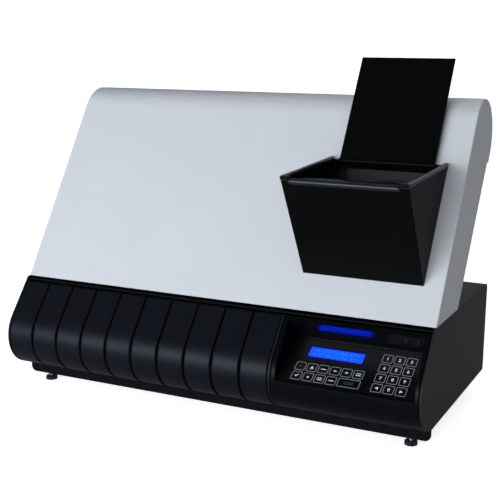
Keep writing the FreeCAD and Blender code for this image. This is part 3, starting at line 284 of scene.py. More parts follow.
# ABS with a spark-eroded grain: a broad cool sheen along the round noses, and painted shade on each box's
# side rims and top
boxMoulding = grainedFinish(
    "absBlackSparkGrainEdgeShade", ("#0a0d12", "#080b0f"), grainMm=0.6, cloudMm=60, rough=(0.36, 0.44), bumpMm=0.08,
    specular=0.13, sheen="#e0e7fa", edges=boxEdgeShade)
# ABS from a plain mould: flat black in the slits between the boxes
guideMoulding = grainedFinish(
    "absBlackPlain", ("#101215", "#0d0f11"), grainMm=0.6, cloudMm=60, rough=(0.45, 0.55), bumpMm=0.08,
    specular=0.14)
# satin powder coat on sheet steel: deep black with hardly a highlight
hopperCoat = grainedFinish(
    "powderCoatBlackSatin", ("#040506", "#030404"), grainMm=0.7, cloudMm=80, rough=(0.4, 0.5), bumpMm=0.06,
    specular=0.05)
# the hopper's coat made lighter, bluer and glossier round a tight roll: a painted highlight on top of the
# lamps' own, one thin cool line of light
lipHighlightCoat = grainedFinish(
    "powderCoatBlackRolledHighlight", ("#0b0d12", "#090a0e"), grainMm=0.7, cloudMm=80, rough=(0.36, 0.44), bumpMm=0.04,
    specular=0.45, sheen="#e0e7fa")
# hard-coated polyester film: smooth and a little glossy
overlayFilm = grainedFinish(
    "polyesterFilmBlack", ("#0a0b0e", "#07080a"), grainMm=0.5, cloudMm=40, rough=(0.24, 0.32), bumpMm=0.01,
    specular=0.2)
# moulded rubber: matt, with no edge to its highlight
padRubber = grainedFinish(
    "mouldedRubberBlack", ("#141516", "#0f1011"), grainMm=0.8, cloudMm=20, rough=(0.7, 0.85), bumpMm=0.08,
    specular=0.3)
# ground rubber: a matt green nap
beltRubber = grainedFinish(
    "groundRubberGreen", ("#2e4638", "#263a2f"), grainMm=0.6, cloudMm=18, rough=(0.7, 0.85), bumpMm=0.08)
# grey ABS: a dull even skin
innerMoulding = grainedFinish(
    "absGreyMoulded", ("#3a3c42", "#33353a"), grainMm=0.6, cloudMm=50, rough=(0.45, 0.6), bumpMm=0.06)
# solder mask over copper: glossy green that shifts in tone from track to track
boardLaminate = grainedFinish(
    "solderMaskGreen", ("#1d5a34", "#174a2b"), grainMm=1.2, cloudMm=12, rough=(0.3, 0.45), bumpMm=0.03)
# stoved enamel: smooth and dark, with a clear highlight
motorEnamel = grainedFinish(
    "enamelBlackMotor", ("#222326", "#1a1b1e"), grainMm=0.8, cloudMm=30, rough=(0.3, 0.4), bumpMm=0.04)
# moulded nylon: black with a slight waxy shine
socketMoulding = grainedFinish(
    "nylonBlackMoulded", ("#1a1a1c", "#141416"), grainMm=0.5, cloudMm=16, rough=(0.3, 0.42), bumpMm=0.04)
whiteInk = screenInk("screenInkWhite", "#e4e7ec", "#d6dae0")
greyInk = screenInk("screenInkGrey", "#a3a8af", "#979ca3")
redInk = screenInk("screenInkRed", "#5a2026", "#4d1b20")
greenInk = screenInk("screenInkGreen", "#183c29", "#133222")
# brushed stainless steel: highlights drawn out across the machine
deckSteel = drawnMetal(
    "stainlessBrushed", ("#c3c5c8", "#a9abae"), grainMm=0.5, stretch=(0.03, 1.0, 1.0), rough=(0.29, 0.34),
    bumpMm=0.01)
# zinc plating: soft grey blotches, the same every way
zincSteel = drawnMetal(
    "zincPlatedSheet", ("#b9bbba", "#9b9d9b"), grainMm=3.0, stretch=(1.0, 1.0, 1.0), rough=(0.4, 0.45),
    bumpMm=0.01)
# chrome plating: small sharp glints
plateChrome = drawnMetal(
    "chromePlatedStem", ("#dddfe2", "#c9ccd0"), grainMm=0.7, stretch=(1.0, 1.0, 0.2), rough=(0.06, 0.14),
    bumpMm=0.004)
# turned aluminium: pale, with fine upright lines
turnedAlloy = drawnMetal(
    "aluminiumTurned", ("#cfd1d4", "#b4b6ba"), grainMm=0.4, stretch=(1.0, 1.0, 0.1), rough=(0.22, 0.34),
    bumpMm=0.008)
# turned brass: warm yellow, with fine upright lines
turnedBrass = drawnMetal(
    "brassTurned", ("#c9a654", "#a98740"), grainMm=0.4, stretch=(1.0, 1.0, 0.1), rough=(0.2, 0.32),
    bumpMm=0.008)


# desk frame: x across, y up the slope, z out of the overlay, starting at the overlay's front edge

desk = {"angle": math.radians(31.4), "sheet": 0.0008, "margin": 0.005, "lintel": 0.0062, "sideGap": 0.0008}
windowGlow = {"across": 0.7, "along": 0.9, "deep": 0.02}  # shares of the window's sides, and metres into it
overlayLow, overlayHigh = (Vector(corner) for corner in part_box("keypad_overlay"))
windowLow, windowHigh = (Vector(corner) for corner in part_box("display_window"))
deskTurn = Matrix.Rotation(desk["angle"], 4, "X")
deskStart = Vector((0, overlayLow.y, overlayLow.z + desk["sheet"] * math.cos(desk["angle"])))
deskFrame = Matrix.Translation(deskStart) @ deskTurn

windowMiddle = (windowLow + windowHigh) / 2
windowWide = windowHigh.x - windowLow.x
windowLong = (windowHigh.y - windowLow.y) / math.cos(desk["angle"])
consolePolish = consoleFinish("absBlackPolished", {
    "light": "#050609", "dark": "#040506", "grainMm": 0.6, "cloudMm": 60, "bumpMm": 0.02,
    "rough": (0.3, 0.36),
    "wallLow": overlayHigh.z, "wallHigh": consoleTop - desk["lintel"], "blend": 0.0005,
    "wallMiddle": (overlayLow.x + overlayHigh.x) / 2,
    "wallHalf": (overlayHigh.x - overlayLow.x) / 2 + desk["sideGap"],
    "specular": 0.06, "coatRough": 0.16, "tip": 0.17})
displayGlass = litWindow("acrylicLitBlue", {
    "centre": windowMiddle, "lean": desk["angle"],
    "reach": (windowWide * windowGlow["across"], windowLong * windowGlow["along"], windowGlow["deep"]),
    "middle": "#0026ff", "edge": "#0020f2", "glass": "#060a18", "strength": 6.0, "litTop": 0.38})
# liquid crystal: pale blue dots on the deep blue behind them
paleDots = litWindow("liquidCrystalPale", {
    "centre": windowMiddle, "lean": desk["angle"], "reach": (windowWide, windowLong, windowGlow["deep"]),
    "middle": "#2a92ff", "edge": "#2a92ff", "glass": "#1f6fd0", "strength": 1.0, "litTop": 2.0})
print("materials made")


# camera from the photograph

cameraSetup = {"place": (0.7381, -1.5231, 0.5894), "yaw": 25.81, "pitch": 11.40, "roll": 0.56, "lens": 71.96,
               "sensor": 36}


def makeCamera(setup):
    yaw, pitch, roll = (math.radians(setup[key]) for key in ("yaw", "pitch", "roll"))
    ahead = Vector((-math.sin(yaw) * math.cos(pitch), math.cos(yaw) * math.cos(pitch), -math.sin(pitch)))
    right = Vector((math.cos(yaw), math.sin(yaw), 0))
    up = right.cross(ahead)
    turnedRight = right * math.cos(roll) + up * math.sin(roll)
    turnedUp = up * math.cos(roll) - right * math.sin(roll)
    data = bpy.data.cameras.new("photoCamera")
    data.sensor_width = setup["sensor"]
    data.lens = setup["lens"]
    camera = bpy.data.objects.new("photoCamera", data)
    turn = Matrix((turnedRight, turnedUp, -ahead)).transposed().to_4x4()
    camera.matrix_world = Matrix.Translation(setup["place"]) @ turn
    bpy.context.scene.collection.objects.link(camera)
    bpy.context.scene.camera = camera


makeCamera(cameraSetup)
print("camera set")


# CAD nodes and their finishes

boxNames = sorted(name for name in nodes if name.startswith("coin_box_"))
nodeFinishes = [
    (hoodPaint, ["hood_shell"]),
    (baseCoat, ["side_panel_left", "side_panel_right", "top_deck", "rear_panel"]),
    (panCoat, ["base_pan", "front_rail"]),
    (boxMoulding, boxNames),
    (guideMoulding, ["box_guides", "box_divider"]),
    (consolePolish, ["console_housing"]),
    # the lid's hinge pin is steel but takes the hopper's black coat: painted shade, so its ends stay dark at
    # the hopper's back
    (hopperCoat, ["hopper_body", "hopper_lid", "hopper_tray", "lid_hinge_pin"]),
    (overlayFilm, ["keypad_overlay"]),
    (displayGlass, ["display_window"]),
    (padRubber, ["foot_pads", "lid_bumpers"]),
    (beltRubber, ["transport_belt"]),
    (innerMoulding, ["feed_disc", "coin_bowl", "sensor_head", "display_module"]),
    (boardLaminate, ["control_board", "main_board"]),
    (motorEnamel, ["feed_motor", "belt_motor"]),
    (socketMoulding, ["power_inlet", "switch_frame", "switch_rocker"]),
    (deckSteel, ["sorting_deck", "coin_rail", "feed_shaft", "drive_shaft", "idler_axle", "hood_hinge_pins"]),
    (zincSteel, ["bay_wall", "frame_left", "frame_right", "rear_cover", "lane_dividers", "pulley_brackets",
                 "hood_hinge_ears", "power_supply", "rear_screws"]),
    (plateChrome, ["foot_stems"]),
    (turnedAlloy, ["drive_pulley", "idler_pulley"]),
    (turnedBrass, ["feed_bearing", "board_standoffs"]),
]
for finish, names in nodeFinishes:
    for name in names:
        for holder in nodes[name].material_slots:
            holder.material = finish
print("finishes set on nodes")


# geometry node trees: one helper starts a tree, others fill and close it, and one grows a piece from it

weld = 1e-6  # points this close are one


def newTree(name, sizes):
    tree = bpy.data.node_groups.new(name, "GeometryNodeTree")
    tree.interface.new_socket("Geometry", in_out="OUTPUT", socket_type="NodeSocketGeometry")
    for label, kind in sizes.items():
        tree.interface.new_socket(label, in_out="INPUT", socket_type="NodeSocket" + kind)
    return tree, tree.nodes.new("NodeGroupInput").outputs


def closeTree(tree, points, shape, finish):
    spread = addNode(tree, "GeometryNodeInstanceOnPoints", {"Points": points, "Instance": shape})
    real = addNode(tree, "GeometryNodeRealizeInstances", {"Geometry": spread.outputs[0]})  # for the export
    painted = addNode(tree, "GeometryNodeSetMaterial", {"Geometry": real.outputs[0], "Material": finish})
    addNode(tree, "NodeGroupOutput", {"Geometry": painted.outputs[0]})


def closedSlab(tree, flat, height):  # a flat shape raised by its height, with its underside kept
    raised = addNode(tree, "GeometryNodeExtrudeMesh", {
        "Mesh": flat, "Offset Scale": height, "Individual": False})
    under = addNode(tree, "GeometryNodeFlipFaces", {"Mesh": flat})
    both = addNode(tree, "GeometryNodeJoinGeometry", {0: raised.outputs[0]})
    tree.links.new(under.outputs[0], both.inputs[0])
    slab = addNode(tree, "GeometryNodeMergeByDistance", {"Geometry": both.outputs[0], "Distance": weld})
    return slab.outputs[0]


def gridPoints(tree, size):  # a flat grid of points, centred on the origin
    spans = []
    for count, pitch in (("Columns", "Pitch Across"), ("Rows", "Pitch Along")):
        steps = addNode(tree, "ShaderNodeMath", {0: size[count], 1: 1.0}, operation="SUBTRACT")
        spans.append(addNode(tree, "ShaderNodeMath", {
            0: steps.outputs[0], 1: size[pitch]}, operation="MULTIPLY"))
    grid = addNode(tree, "GeometryNodeMeshGrid", {
        "Size X": spans[0].outputs[0], "Size Y": spans[1].outputs[0],
        "Vertices X": size["Columns"], "Vertices Y": size["Rows"]})
    return grid.outputs[0]


def growPiece(name, tree, settings, place):
    piece = linkPiece(name, bpy.data.meshes.new(name))
    grow = piece.modifiers.new("grow", "NODES")
    grow.node_group = tree
    for socket in tree.interface.items_tree:
        if socket.in_out == "INPUT":
            grow[socket.identifier] = settings[socket.name]
    grown = bpy.data.meshes.new_from_object(piece.evaluated_get(bpy.context.evaluated_depsgraph_get()))
    piece.modifiers.remove(grow)
    piece.data = grown
    grown.transform(place)
    return piece


gridSizes = {"Columns": "Int", "Rows": "Int", "Pitch Across": "Float", "Pitch Along": "Float"}


# keypad: screen-printed key outlines on the overlay

keypad = {
    "acrossPitch": 0.0187, "alongPitch": 0.0195, "keyWidth": 0.0159, "keyHeight": 0.0161, "corner": 0.002,
    "line": 0.00065, "ink": 0.0001, "numberLeft": 0.2982, "functionLeft": 0.1705, "firstRow": 0.0163,
    "digitSize": 0.0078, "digitBold": 0.00022, "cornerSteps": 4, "curveSteps": 4,
}


def makeKeyTree():
    tree, size = newTree("keyOutlines", gridSizes | {
        "Key Width": "Float", "Key Height": "Float", "Corner": "Float", "Line": "Float", "Ink": "Float",
        "Finish": "Material"})
    both = addNode(tree, "ShaderNodeMath", {0: size["Line"], 1: 2.0}, operation="MULTIPLY")
    loops = addNode(tree, "GeometryNodeJoinGeometry")
    for inset in (False, True):
        sides = [size["Key Width"], size["Key Height"], size["Corner"]]
        if inset:
            cuts = (both.outputs[0], both.outputs[0], size["Line"])
            sides = [addNode(tree, "ShaderNodeMath", {0: side, 1: less}, operation="SUBTRACT").outputs[0]
                     for side, less in zip(sides, cuts)]
        loop = addNode(tree, "GeometryNodeCurvePrimitiveQuadrilateral", {
            "Width": sides[0], "Height": sides[1]})
        rounded = addNode(tree, "GeometryNodeFilletCurve", {
            "Curve": loop.outputs[0], "Radius": sides[2], "Count": keypad["cornerSteps"]}, mode="POLY")
        tree.links.new(rounded.outputs[0], loops.inputs[0])
    ring = addNode(tree, "GeometryNodeFillCurve", {"Curve": loops.outputs[0]}, mode="NGONS")
    outline = closedSlab(tree, ring.outputs[0], size["Ink"])
    closeTree(tree, gridPoints(tree, size), outline, size["Finish"])
    return tree


keyBlocks = [  # name, block, columns, rows, first key's column and row, keys merged into one
    ("numberKeyOutlines", "numberLeft", 3, 4, 0, 0, 1),
    ("functionKeyOutlinesUpper", "functionLeft", 6, 1, 0, 1, 1),
    ("functionKeyOutlinesLower", "functionLeft", 4, 1, 0, 0, 1),
    ("wideKeyOutline", "functionLeft", 1, 1, 4, 0, 2),
]


def keySpot(left, column, row):
    across = keypad[left] + column * keypad["acrossPitch"]
    along = keypad["firstRow"] - desk["margin"] + row * keypad["alongPitch"]
    return deskFrame @ Matrix.Translation((across, along, 0))


keyTree = makeKeyTree()
for name, left, columns, rows, column, row, merged in keyBlocks:
    middle = keySpot(left, column + (columns * merged - 1) / 2, row + (rows - 1) / 2)
    settings = {
        "Columns": columns, "Rows": rows,
        "Pitch Across": keypad["acrossPitch"], "Pitch Along": keypad["alongPitch"],
        "Key Width": keypad["keyWidth"] + (merged - 1) * keypad["acrossPitch"],
        "Key Height": keypad["keyHeight"],
        "Corner": keypad["corner"], "Line": keypad["line"], "Ink": keypad["ink"], "Finish": greyInk}
    rideOn(growPiece(name, keyTree, settings, middle), "base")
print("key outlines printed")


# digits and plain symbols on the keys, each symbol a few points in millimetres

def prism(work, points, height, place):
    foot = work.faces.new([work.verts.new((x / 1000, y / 1000, 0)) for x, y in points])
    top = bmesh.ops.extrude_face_region(work, geom=[foot])["geom"]
    raised = [part for part in top if isinstance(part, bmesh.types.BMVert)]
    bmesh.ops.translate(work, verts=raised, vec=(0, 0, height))
    bmesh.ops.transform(work, matrix=place, verts=raised + list(foot.verts))


def bar(length, thick, lift=0.0):
    return [(-length / 2, lift - thick / 2), (length / 2, lift - thick / 2),
            (length / 2, lift + thick / 2), (-length / 2, lift + thick / 2)]


def arrow(way):
    return [(way * 2.8, 0), (way * -0.4, 2.2), (way * -0.4, 0.7), (way * -2.8, 0.7),
            (way * -2.8, -0.7), (way * -0.4, -0.7), (way * -0.4, -2.2)]


def disc(radius, sides=16):
    turns = [math.tau * i / sides for i in range(sides)]
    return [(radius * math.cos(a), radius * math.sin(a)) for a in turns]


def saltire(reach, half):
    corner = [(half, half), (reach, half), (reach, -half)]
    turns = [(x, y, math.tau * (1 / 8 - quarter / 4)) for quarter in range(4) for x, y in corner]
    return [(x * math.cos(a) - y * math.sin(a), x * math.sin(a) + y * math.cos(a)) for x, y, a in turns]


symbols = {
    "up": [[(-2.6, -0.9), (2.6, -0.9), (0, 2.8)], bar(5.2, 1.0, -2.2)],
    "left": [arrow(-1)],
    "right": [arrow(1)],
    "back": [[(2.3, -2.9), (2.3, 2.9), (-2.9, 0)]],
    "forward": [[(-2.3, -2.9), (2.9, 0), (-2.3, 2.9)]],
    "bar": [bar(8.0, 1.5)],
    "twoBars": [bar(8.0, 1.3, 1.7), bar(8.0, 1.3, -1.7)],
    "tick": [[(-3.4, 0.3), (-2.3, 1.4), (-0.9, 0.1), (2.5, 3.2), (3.5, 2.1), (-0.9, -2.1)]],
    "dot": [disc(1.7)],
    "cross": [saltire(3.4, 0.8)],
    "go": [bar(15.0, 2.0, 1.7), bar(15.0, 2.0, -1.7)],
}
symbolKeys = {  # ink, then each symbol with its key's block, column and row
    "whiteSymbols": (whiteInk, [
        ("up", "functionLeft", 1, 1), ("bar", "functionLeft", 2, 1), ("left", "functionLeft", 3, 1),
        ("right", "functionLeft", 4, 1), ("twoBars", "functionLeft", 5, 1), ("tick", "functionLeft", 0, 0),
        ("dot", "functionLeft", 1, 0), ("twoBars", "functionLeft", 2, 0), ("bar", "functionLeft", 3, 0),
        ("back", "numberLeft", 0, 0), ("forward", "numberLeft", 2, 0)]),
    "redSymbol": (redInk, [("cross", "functionLeft", 0, 1)]),
    "greenSymbol": (greenInk, [("go", "functionLeft", 4.5, 0)]),
}
for name, (ink, spots) in symbolKeys.items():
    work = bmesh.new()
    for symbol, left, column, row in spots:
        for points in symbols[symbol]:
            prism(work, points, keypad["ink"], keySpot(left, column, row))
    rideOn(linkPiece(name, meshFrom(name, work), ink), "base")


def digitMesh(digit):
    letter = bpy.data.curves.new("digit" + digit, "FONT")
    letter.body = digit
    letter.align_x = "CENTER"
    letter.align_y = "CENTER"
    letter.size = keypad["digitSize"]
    letter.offset = keypad["digitBold"]
    letter.extrude = keypad["ink"] / 2
    letter.resolution_u = keypad["curveSteps"]
    carrier = linkPiece("digitCarrier", letter)
    mesh = bpy.data.meshes.new_from_object(carrier.evaluated_get(bpy.context.evaluated_depsgraph_get()))
    bpy.data.objects.remove(carrier)
    return mesh


def printDigits():
    work = bmesh.new()
    spots = [(str(i + 1), i % 3, 3 - i // 3) for i in range(9)] + [("0", 1, 0)]  # rows of three, 1 at the top
    for digit, column, row in spots:
        mesh = digitMesh(digit)
        mesh.transform(keySpot("numberLeft", column, row) @ Matrix.Translation((0, 0, keypad["ink"] / 2)))
        work.from_mesh(mesh)
    bmesh.ops.remove_doubles(work, verts=work.verts, dist=weld)
    rideOn(linkPiece("numberKeyDigits", meshFrom("numberKeyDigits", work), whiteInk), "base")


printDigits()
print("key symbols printed")


# display: two rows of dot characters on the window's face

dots = {"columns": 16, "rows": 2, "acrossPitch": 0.0047, "alongPitch": 0.0085, "cell": (5, 7), "dot": 0.00062,
        "dotPitch": 0.00075, "lit": 0.16, "seed": 7, "lift": 0.0001, "drop": 0.0019}
trueOrFalse = 3  # a Random Value node's output for yes or no


def makeDotTree():
    tree, size = newTree("displayDots", gridSizes | {
        "Dot": "Float", "Dot Pitch": "Float", "Lit": "Float", "Seed": "Int", "Lift": "Float",
        "Finish": "Material"})
    spans = [addNode(tree, "ShaderNodeMath", {
        0: size["Dot Pitch"], 1: count - 1}, operation="MULTIPLY").outputs[0] for count in dots["cell"]]
    cell = addNode(tree, "GeometryNodeMeshGrid", {
        "Size X": spans[0], "Size Y": spans[1], "Vertices X": dots["cell"][0], "Vertices Y": dots["cell"][1]})
    rows = addNode(tree, "GeometryNodeInstanceOnPoints", {
        "Points": gridPoints(tree, size), "Instance": cell.outputs[0]})
    every = addNode(tree, "GeometryNodeRealizeInstances", {"Geometry": rows.outputs[0]})
    chance = addNode(tree, "ShaderNodeMath", {0: 1.0, 1: size["Lit"]}, operation="SUBTRACT")
    dark = addNode(tree, "FunctionNodeRandomValue", {
        "Probability": chance.outputs[0], "Seed": size["Seed"]}, data_type="BOOLEAN")
    shown = addNode(tree, "GeometryNodeDeleteGeometry", {
        "Geometry": every.outputs[0], "Selection": dark.outputs[trueOrFalse]}, domain="POINT")
    dot = addNode(tree, "GeometryNodeMeshGrid", {
        "Size X": size["Dot"], "Size Y": size["Dot"], "Vertices X": 2, "Vertices Y": 2})
    tile = closedSlab(tree, dot.outputs[0], size["Lift"])
    closeTree(tree, shown.outputs[0], tile, size["Finish"])
    return tree


dotPlace = Matrix.Translation((0, -dots["drop"], desk["sheet"] / 2))
windowFace = Matrix.Translation(windowMiddle) @ deskTurn @ dotPlace
dotSettings = {
    "Columns": dots["columns"], "Rows": dots["rows"], "Pitch Across": dots["acrossPitch"],
    "Pitch Along": dots["alongPitch"], "Dot": dots["dot"], "Dot Pitch": dots["dotPitch"], "Lit": dots["lit"],
    "Seed": dots["seed"], "Lift": dots["lift"], "Finish": paleDots}
rideOn(growPiece("displayCharacters", makeDotTree(), dotSettings, windowFace), "base")
print("display lit")


# levelling feet: rolled thread on each stem

thread = {"core": 0.0034, "crest": 0.00055, "pitch": 0.00125, "steps": 22, "radius": 0.004,
          "sides": 32, "toothSides": 4, "columns": 2, "rows": 2}


def makeStemTree():
    tree, size = newTree("threadedStems", gridSizes | {
        "Core": "Float", "Crest": "Float", "Turns": "Float", "Length": "Float", "Steps": "Int",
        "Finish": "Material"})
    core = addNode(tree, "GeometryNodeMeshCylinder", {
        "Vertices": thread["sides"], "Radius": size["Core"], "Depth": size["Length"]})
    climb = addNode(tree, "GeometryNodeCurveSpiral", {
        "Resolution": size["Steps"], "Rotations": size["Turns"], "Start Radius": size["Core"],
        "End Radius": size["Core"], "Height": size["Length"]})
    drop = addNode(tree, "ShaderNodeMath", {0: size["Length"], 1: -0.5}, operation="MULTIPLY")
    down = addNode(tree, "ShaderNodeCombineXYZ", {"Z": drop.outputs[0]})
    centred = addNode(tree, "GeometryNodeTransform", {
        "Geometry": climb.outputs[0], "Translation": down.outputs[0]})
    tooth = addNode(tree, "GeometryNodeCurvePrimitiveCircle", {
        "Resolution": thread["toothSides"], "Radius": size["Crest"]})
    ridge = addNode(tree, "GeometryNodeCurveToMesh", {
        "Curve": centred.outputs[0], "Profile Curve": tooth.outputs[0], "Fill Caps": True})
    stem = addNode(tree, "GeometryNodeJoinGeometry", {0: core.outputs[0]})
    tree.links.new(ridge.outputs[0], stem.inputs[0])
    closeTree(tree, gridPoints(tree, size), stem.outputs[0], size["Finish"])
    return tree


stemLow, stemHigh = (Vector(corner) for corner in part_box("foot_stems"))
stemLength = stemHigh.z - stemLow.z - 2 * thread["crest"]
stemMiddle = (stemLow + stemHigh) / 2
stemSettings = {
    "Columns": thread["columns"], "Rows": thread["rows"],
    "Pitch Across": stemHigh.x - stemLow.x - 2 * thread["radius"],
    "Pitch Along": stemHigh.y - stemLow.y - 2 * thread["radius"],
    "Core": thread["core"], "Crest": thread["crest"], "Turns": stemLength / thread["pitch"],
    "Length": stemLength, "Steps": thread["steps"], "Finish": plateChrome}
threadedStems = growPiece("threadedStems", makeStemTree(), stemSettings, Matrix.Translation(stemMiddle))
rideOn(threadedStems, "base")
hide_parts("foot_stems")
print("stems threaded")


# rear panel: pan heads with a cross recess

screws = {"radius": 0.003, "crown": 0.0023, "slotLong": 0.0034, "slotWide": 0.0008, "slotDeep": 0.0009,
          "sides": 32, "columns": 3, "rows": 2}


def makeScrewTree():
    tree, size = newTree("panHeads", gridSizes | {
        "Radius": "Float", "Crown": "Float", "Head": "Float", "Slot Long": "Float", "Slot Wide": "Float",
        "Slot Deep": "Float", "Finish": "Material"})
    head = addNode(tree, "GeometryNodeMeshCone", {
        "Vertices": screws["sides"], "Radius Top": size["Crown"], "Radius Bottom": size["Radius"],
        "Depth": size["Head"]})
    recess = addNode(tree, "GeometryNodeMeshBoolean", {
        "Mesh 1": head.outputs[0]}, operation="DIFFERENCE", solver="EXACT")
    raised = addNode(tree, "ShaderNodeCombineXYZ", {"Z": size["Head"]})
    for across, along in (("Slot Long", "Slot Wide"), ("Slot Wide", "Slot Long")):
        deep = addNode(tree, "ShaderNodeMath", {0: size["Slot Deep"], 1: 2.0}, operation="MULTIPLY")
        span = addNode(tree, "ShaderNodeCombineXYZ", {
            "X": size[across], "Y": size[along], "Z": deep.outputs[0]})
        slot = addNode(tree, "GeometryNodeMeshCube", {"Size": span.outputs[0]})
        lifted = addNode(tree, "GeometryNodeTransform", {
            "Geometry": slot.outputs[0], "Translation": raised.outputs[0]})
        tree.links.new(lifted.outputs[0], recess.inputs["Mesh 2"])
    closeTree(tree, gridPoints(tree, size), recess.outputs[0], size["Finish"])
    return tree


backFacing = Matrix(((-1, 0, 0), (0, 0, 1), (0, 1, 0))).to_4x4()
screwLow, screwHigh = (Vector(corner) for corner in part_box("rear_screws"))
screwFoot = Vector(((screwLow.x + screwHigh.x) / 2, screwLow.y, (screwLow.z + screwHigh.z) / 2))
screwSettings = {
    "Columns": screws["columns"], "Rows": screws["rows"],
    "Pitch Across": (screwHigh.x - screwLow.x) / 2 - screws["radius"],
    "Pitch Along": screwHigh.z - screwLow.z - 2 * screws["radius"], "Radius": screws["radius"],
    "Crown": screws["crown"], "Head": screwHigh.y - screwLow.y, "Slot Long": screws["slotLong"],
    "Slot Wide": screws["slotWide"], "Slot Deep": screws["slotDeep"], "Finish": zincSteel}
panHeads = growPiece("panHeads", makeScrewTree(), screwSettings, Matrix.Translation(screwFoot) @ backFacing)
rideOn(panHeads, "base")
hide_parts("rear_screws")
print("screws set")


# switch: on and off marks on the rocker's two faces

rockerMarks = {  # places in metres, the bar and the ring in millimetres
    "tilt": math.radians(8), "dip": math.radians(6.3), "out": 0.0027, "along": 0.0048, "ink": 0.0001,
    "barWide": 0.8, "barTall": 4.0, "ringOuter": 2.0, "ringInner": 1.3, "ringSides": 24,
}
switchJoint = next(joint for joint in frame["joints"] if joint["name"] == "switch_rock")
rockerFrame = Matrix.Translation(switchJoint["pos_m"]) @ Matrix.Rotation(rockerMarks["tilt"], 4, "X")


def rockerSpot(way):  # the upper or the lower half of the rocker's face
    spot = Matrix.Translation((0, rockerMarks["out"], way * rockerMarks["along"]))
    return rockerFrame @ spot @ Matrix.Rotation(-way * rockerMarks["dip"], 4, "X") @ backFacing


def flatRing(work, outer, inner, height, place):
    levels = [[[work.verts.new(place @ Vector((x / 1000, y / 1000, z))) for x, y in loop]
               for loop in (outer, inner)] for z in (0, height)]
    (outerFoot, innerFoot), (outerTop, innerTop) = levels
    around = [outerFoot, outerTop, innerTop, innerFoot]
    for i in range(len(outer)):
        for j, loop in enumerate(around):
            work.faces.new((around[j - 1][i - 1], around[j - 1][i], loop[i], loop[i - 1]))


def markRocker(mark):
    work = bmesh.new()
    prism(work, bar(mark["barWide"], mark["barTall"]), mark["ink"], rockerSpot(1))
    outer, inner = (disc(mark[key], mark["ringSides"]) for key in ("ringOuter", "ringInner"))
    flatRing(work, outer, inner, mark["ink"], rockerSpot(-1))
    rideOn(linkPiece("rockerMarks", meshFrom("rockerMarks", work), whiteInk), "switch")


markRocker(rockerMarks)
print("switch marked")


# hopper: black back wall against the hood, its rim turned in round the mouth

backWall = {"lean": math.radians(32.4), "footZ": 0.1905, "sheet": 0.0008, "inner": 0.0953, "mouth": 0.0874,
            "low": 0.124, "mouthTop": 0.2494, "high": 0.263, "edge": 0.0006, "fold": 0.0022}
hopperLow, hopperHigh = (Vector(corner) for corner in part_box("hopper_body"))
hoodFoot = Vector(((hopperLow.x + hopperHigh.x) / 2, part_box("hood_shell")[0][1], backWall["footZ"]))
hoodFace = Matrix.Translation(hoodFoot) @ Matrix.Rotation(math.pi / 2 - backWall["lean"], 4, "X")


def inMillimetres(points):
    return [(x * 1000, y * 1000) for x, y in points]


def makeBackWall(wall):
    mouth, inner, low, top = wall["mouth"], wall["inner"], wall["low"], wall["mouthTop"]
    outer, above = mouth + wall["edge"], top + wall["edge"]
    outline = [(-inner, low), (-mouth, low), (-mouth, top), (mouth, top), (mouth, low), (inner, low),
               (inner, wall["high"]), (-inner, wall["high"])]
    fold = [(-mouth, low), (-outer, low), (-outer, above), (outer, above), (outer, low), (mouth, low),
            (mouth, top), (-mouth, top)]
    work = bmesh.new()
    prism(work, inMillimetres(outline), wall["sheet"], hoodFace)
    prism(work, inMillimetres(fold), wall["fold"], hoodFace @ Matrix.Translation((0, 0, -wall["fold"])))
    rideOn(linkPiece("hopperBackWall", meshFrom("hopperBackWall", work), hopperCoat), "hood")


makeBackWall(backWall)


# hopper: rolled lips, fuller than the plain rods under them

lipRoll = {"side": 0.095, "turn": 0.086, "front": 0.0815, "radius": 0.004, "frontRadius": 0.0046,
           "back": (0.0065, 0.414), "corner": (-0.1923, 0.4043), "hang": (-0.1917, 0.4),
           "sides": 24, "roundSteps": 6}


def addRoll(work, start, end, radius):  # a rod with round ends: one half outline, spun
    along = Vector(end) - Vector(start)
    place = Matrix.Translation(start) @ along.to_track_quat("Z", "Y").to_matrix().to_4x4()
    angles = [math.pi / 2 * i / lipRoll["roundSteps"] for i in range(lipRoll["roundSteps"] + 1)]
    foot = [(radius * math.sin(a), -radius * math.cos(a)) for a in angles]
    outline = foot + [(reach, along.length - z) for reach, z in reversed(foot)]
    roll = bmesh.new()
    points = [roll.verts.new(place @ Vector((reach, 0, z))) for reach, z in outline]
    edges = [roll.edges.new(pair) for pair in zip(points, points[1:])]
    bmesh.ops.spin(roll, geom=points + edges, cent=start, axis=along.normalized(), angle=math.tau,
                   steps=lipRoll["sides"], use_merge=True)
    bmesh.ops.remove_doubles(roll, verts=roll.verts, dist=weld)
    work.from_mesh(meshFrom("hopperRoll", roll))


def makeLips(lip):
    work = bmesh.new()
    centre = hoodFoot.x
    for way in (-1, 1):
        corner = (centre + way * lip["side"], *lip["corner"])
        addRoll(work, (centre + way * lip["side"], *lip["back"]), corner, lip["radius"])
        addRoll(work, corner, (centre + way * lip["turn"], *lip["corner"]), lip["radius"])
    ends = [(centre + way * lip["front"], *lip["hang"]) for way in (-1, 1)]
    addRoll(work, *ends, lip["frontRadius"])
    # the lips wear the lighter, glossier copy of the hopper's coat: painted highlight
    lips = linkPiece("hopperLips", meshFrom("hopperLips", work), lipHighlightCoat)
    smoothFaces(lips.data)
    rideOn(lips, "hood")


makeLips(lipRoll)
print("hopper backed and lipped")


# studio: one pale round sweep and two softboxes

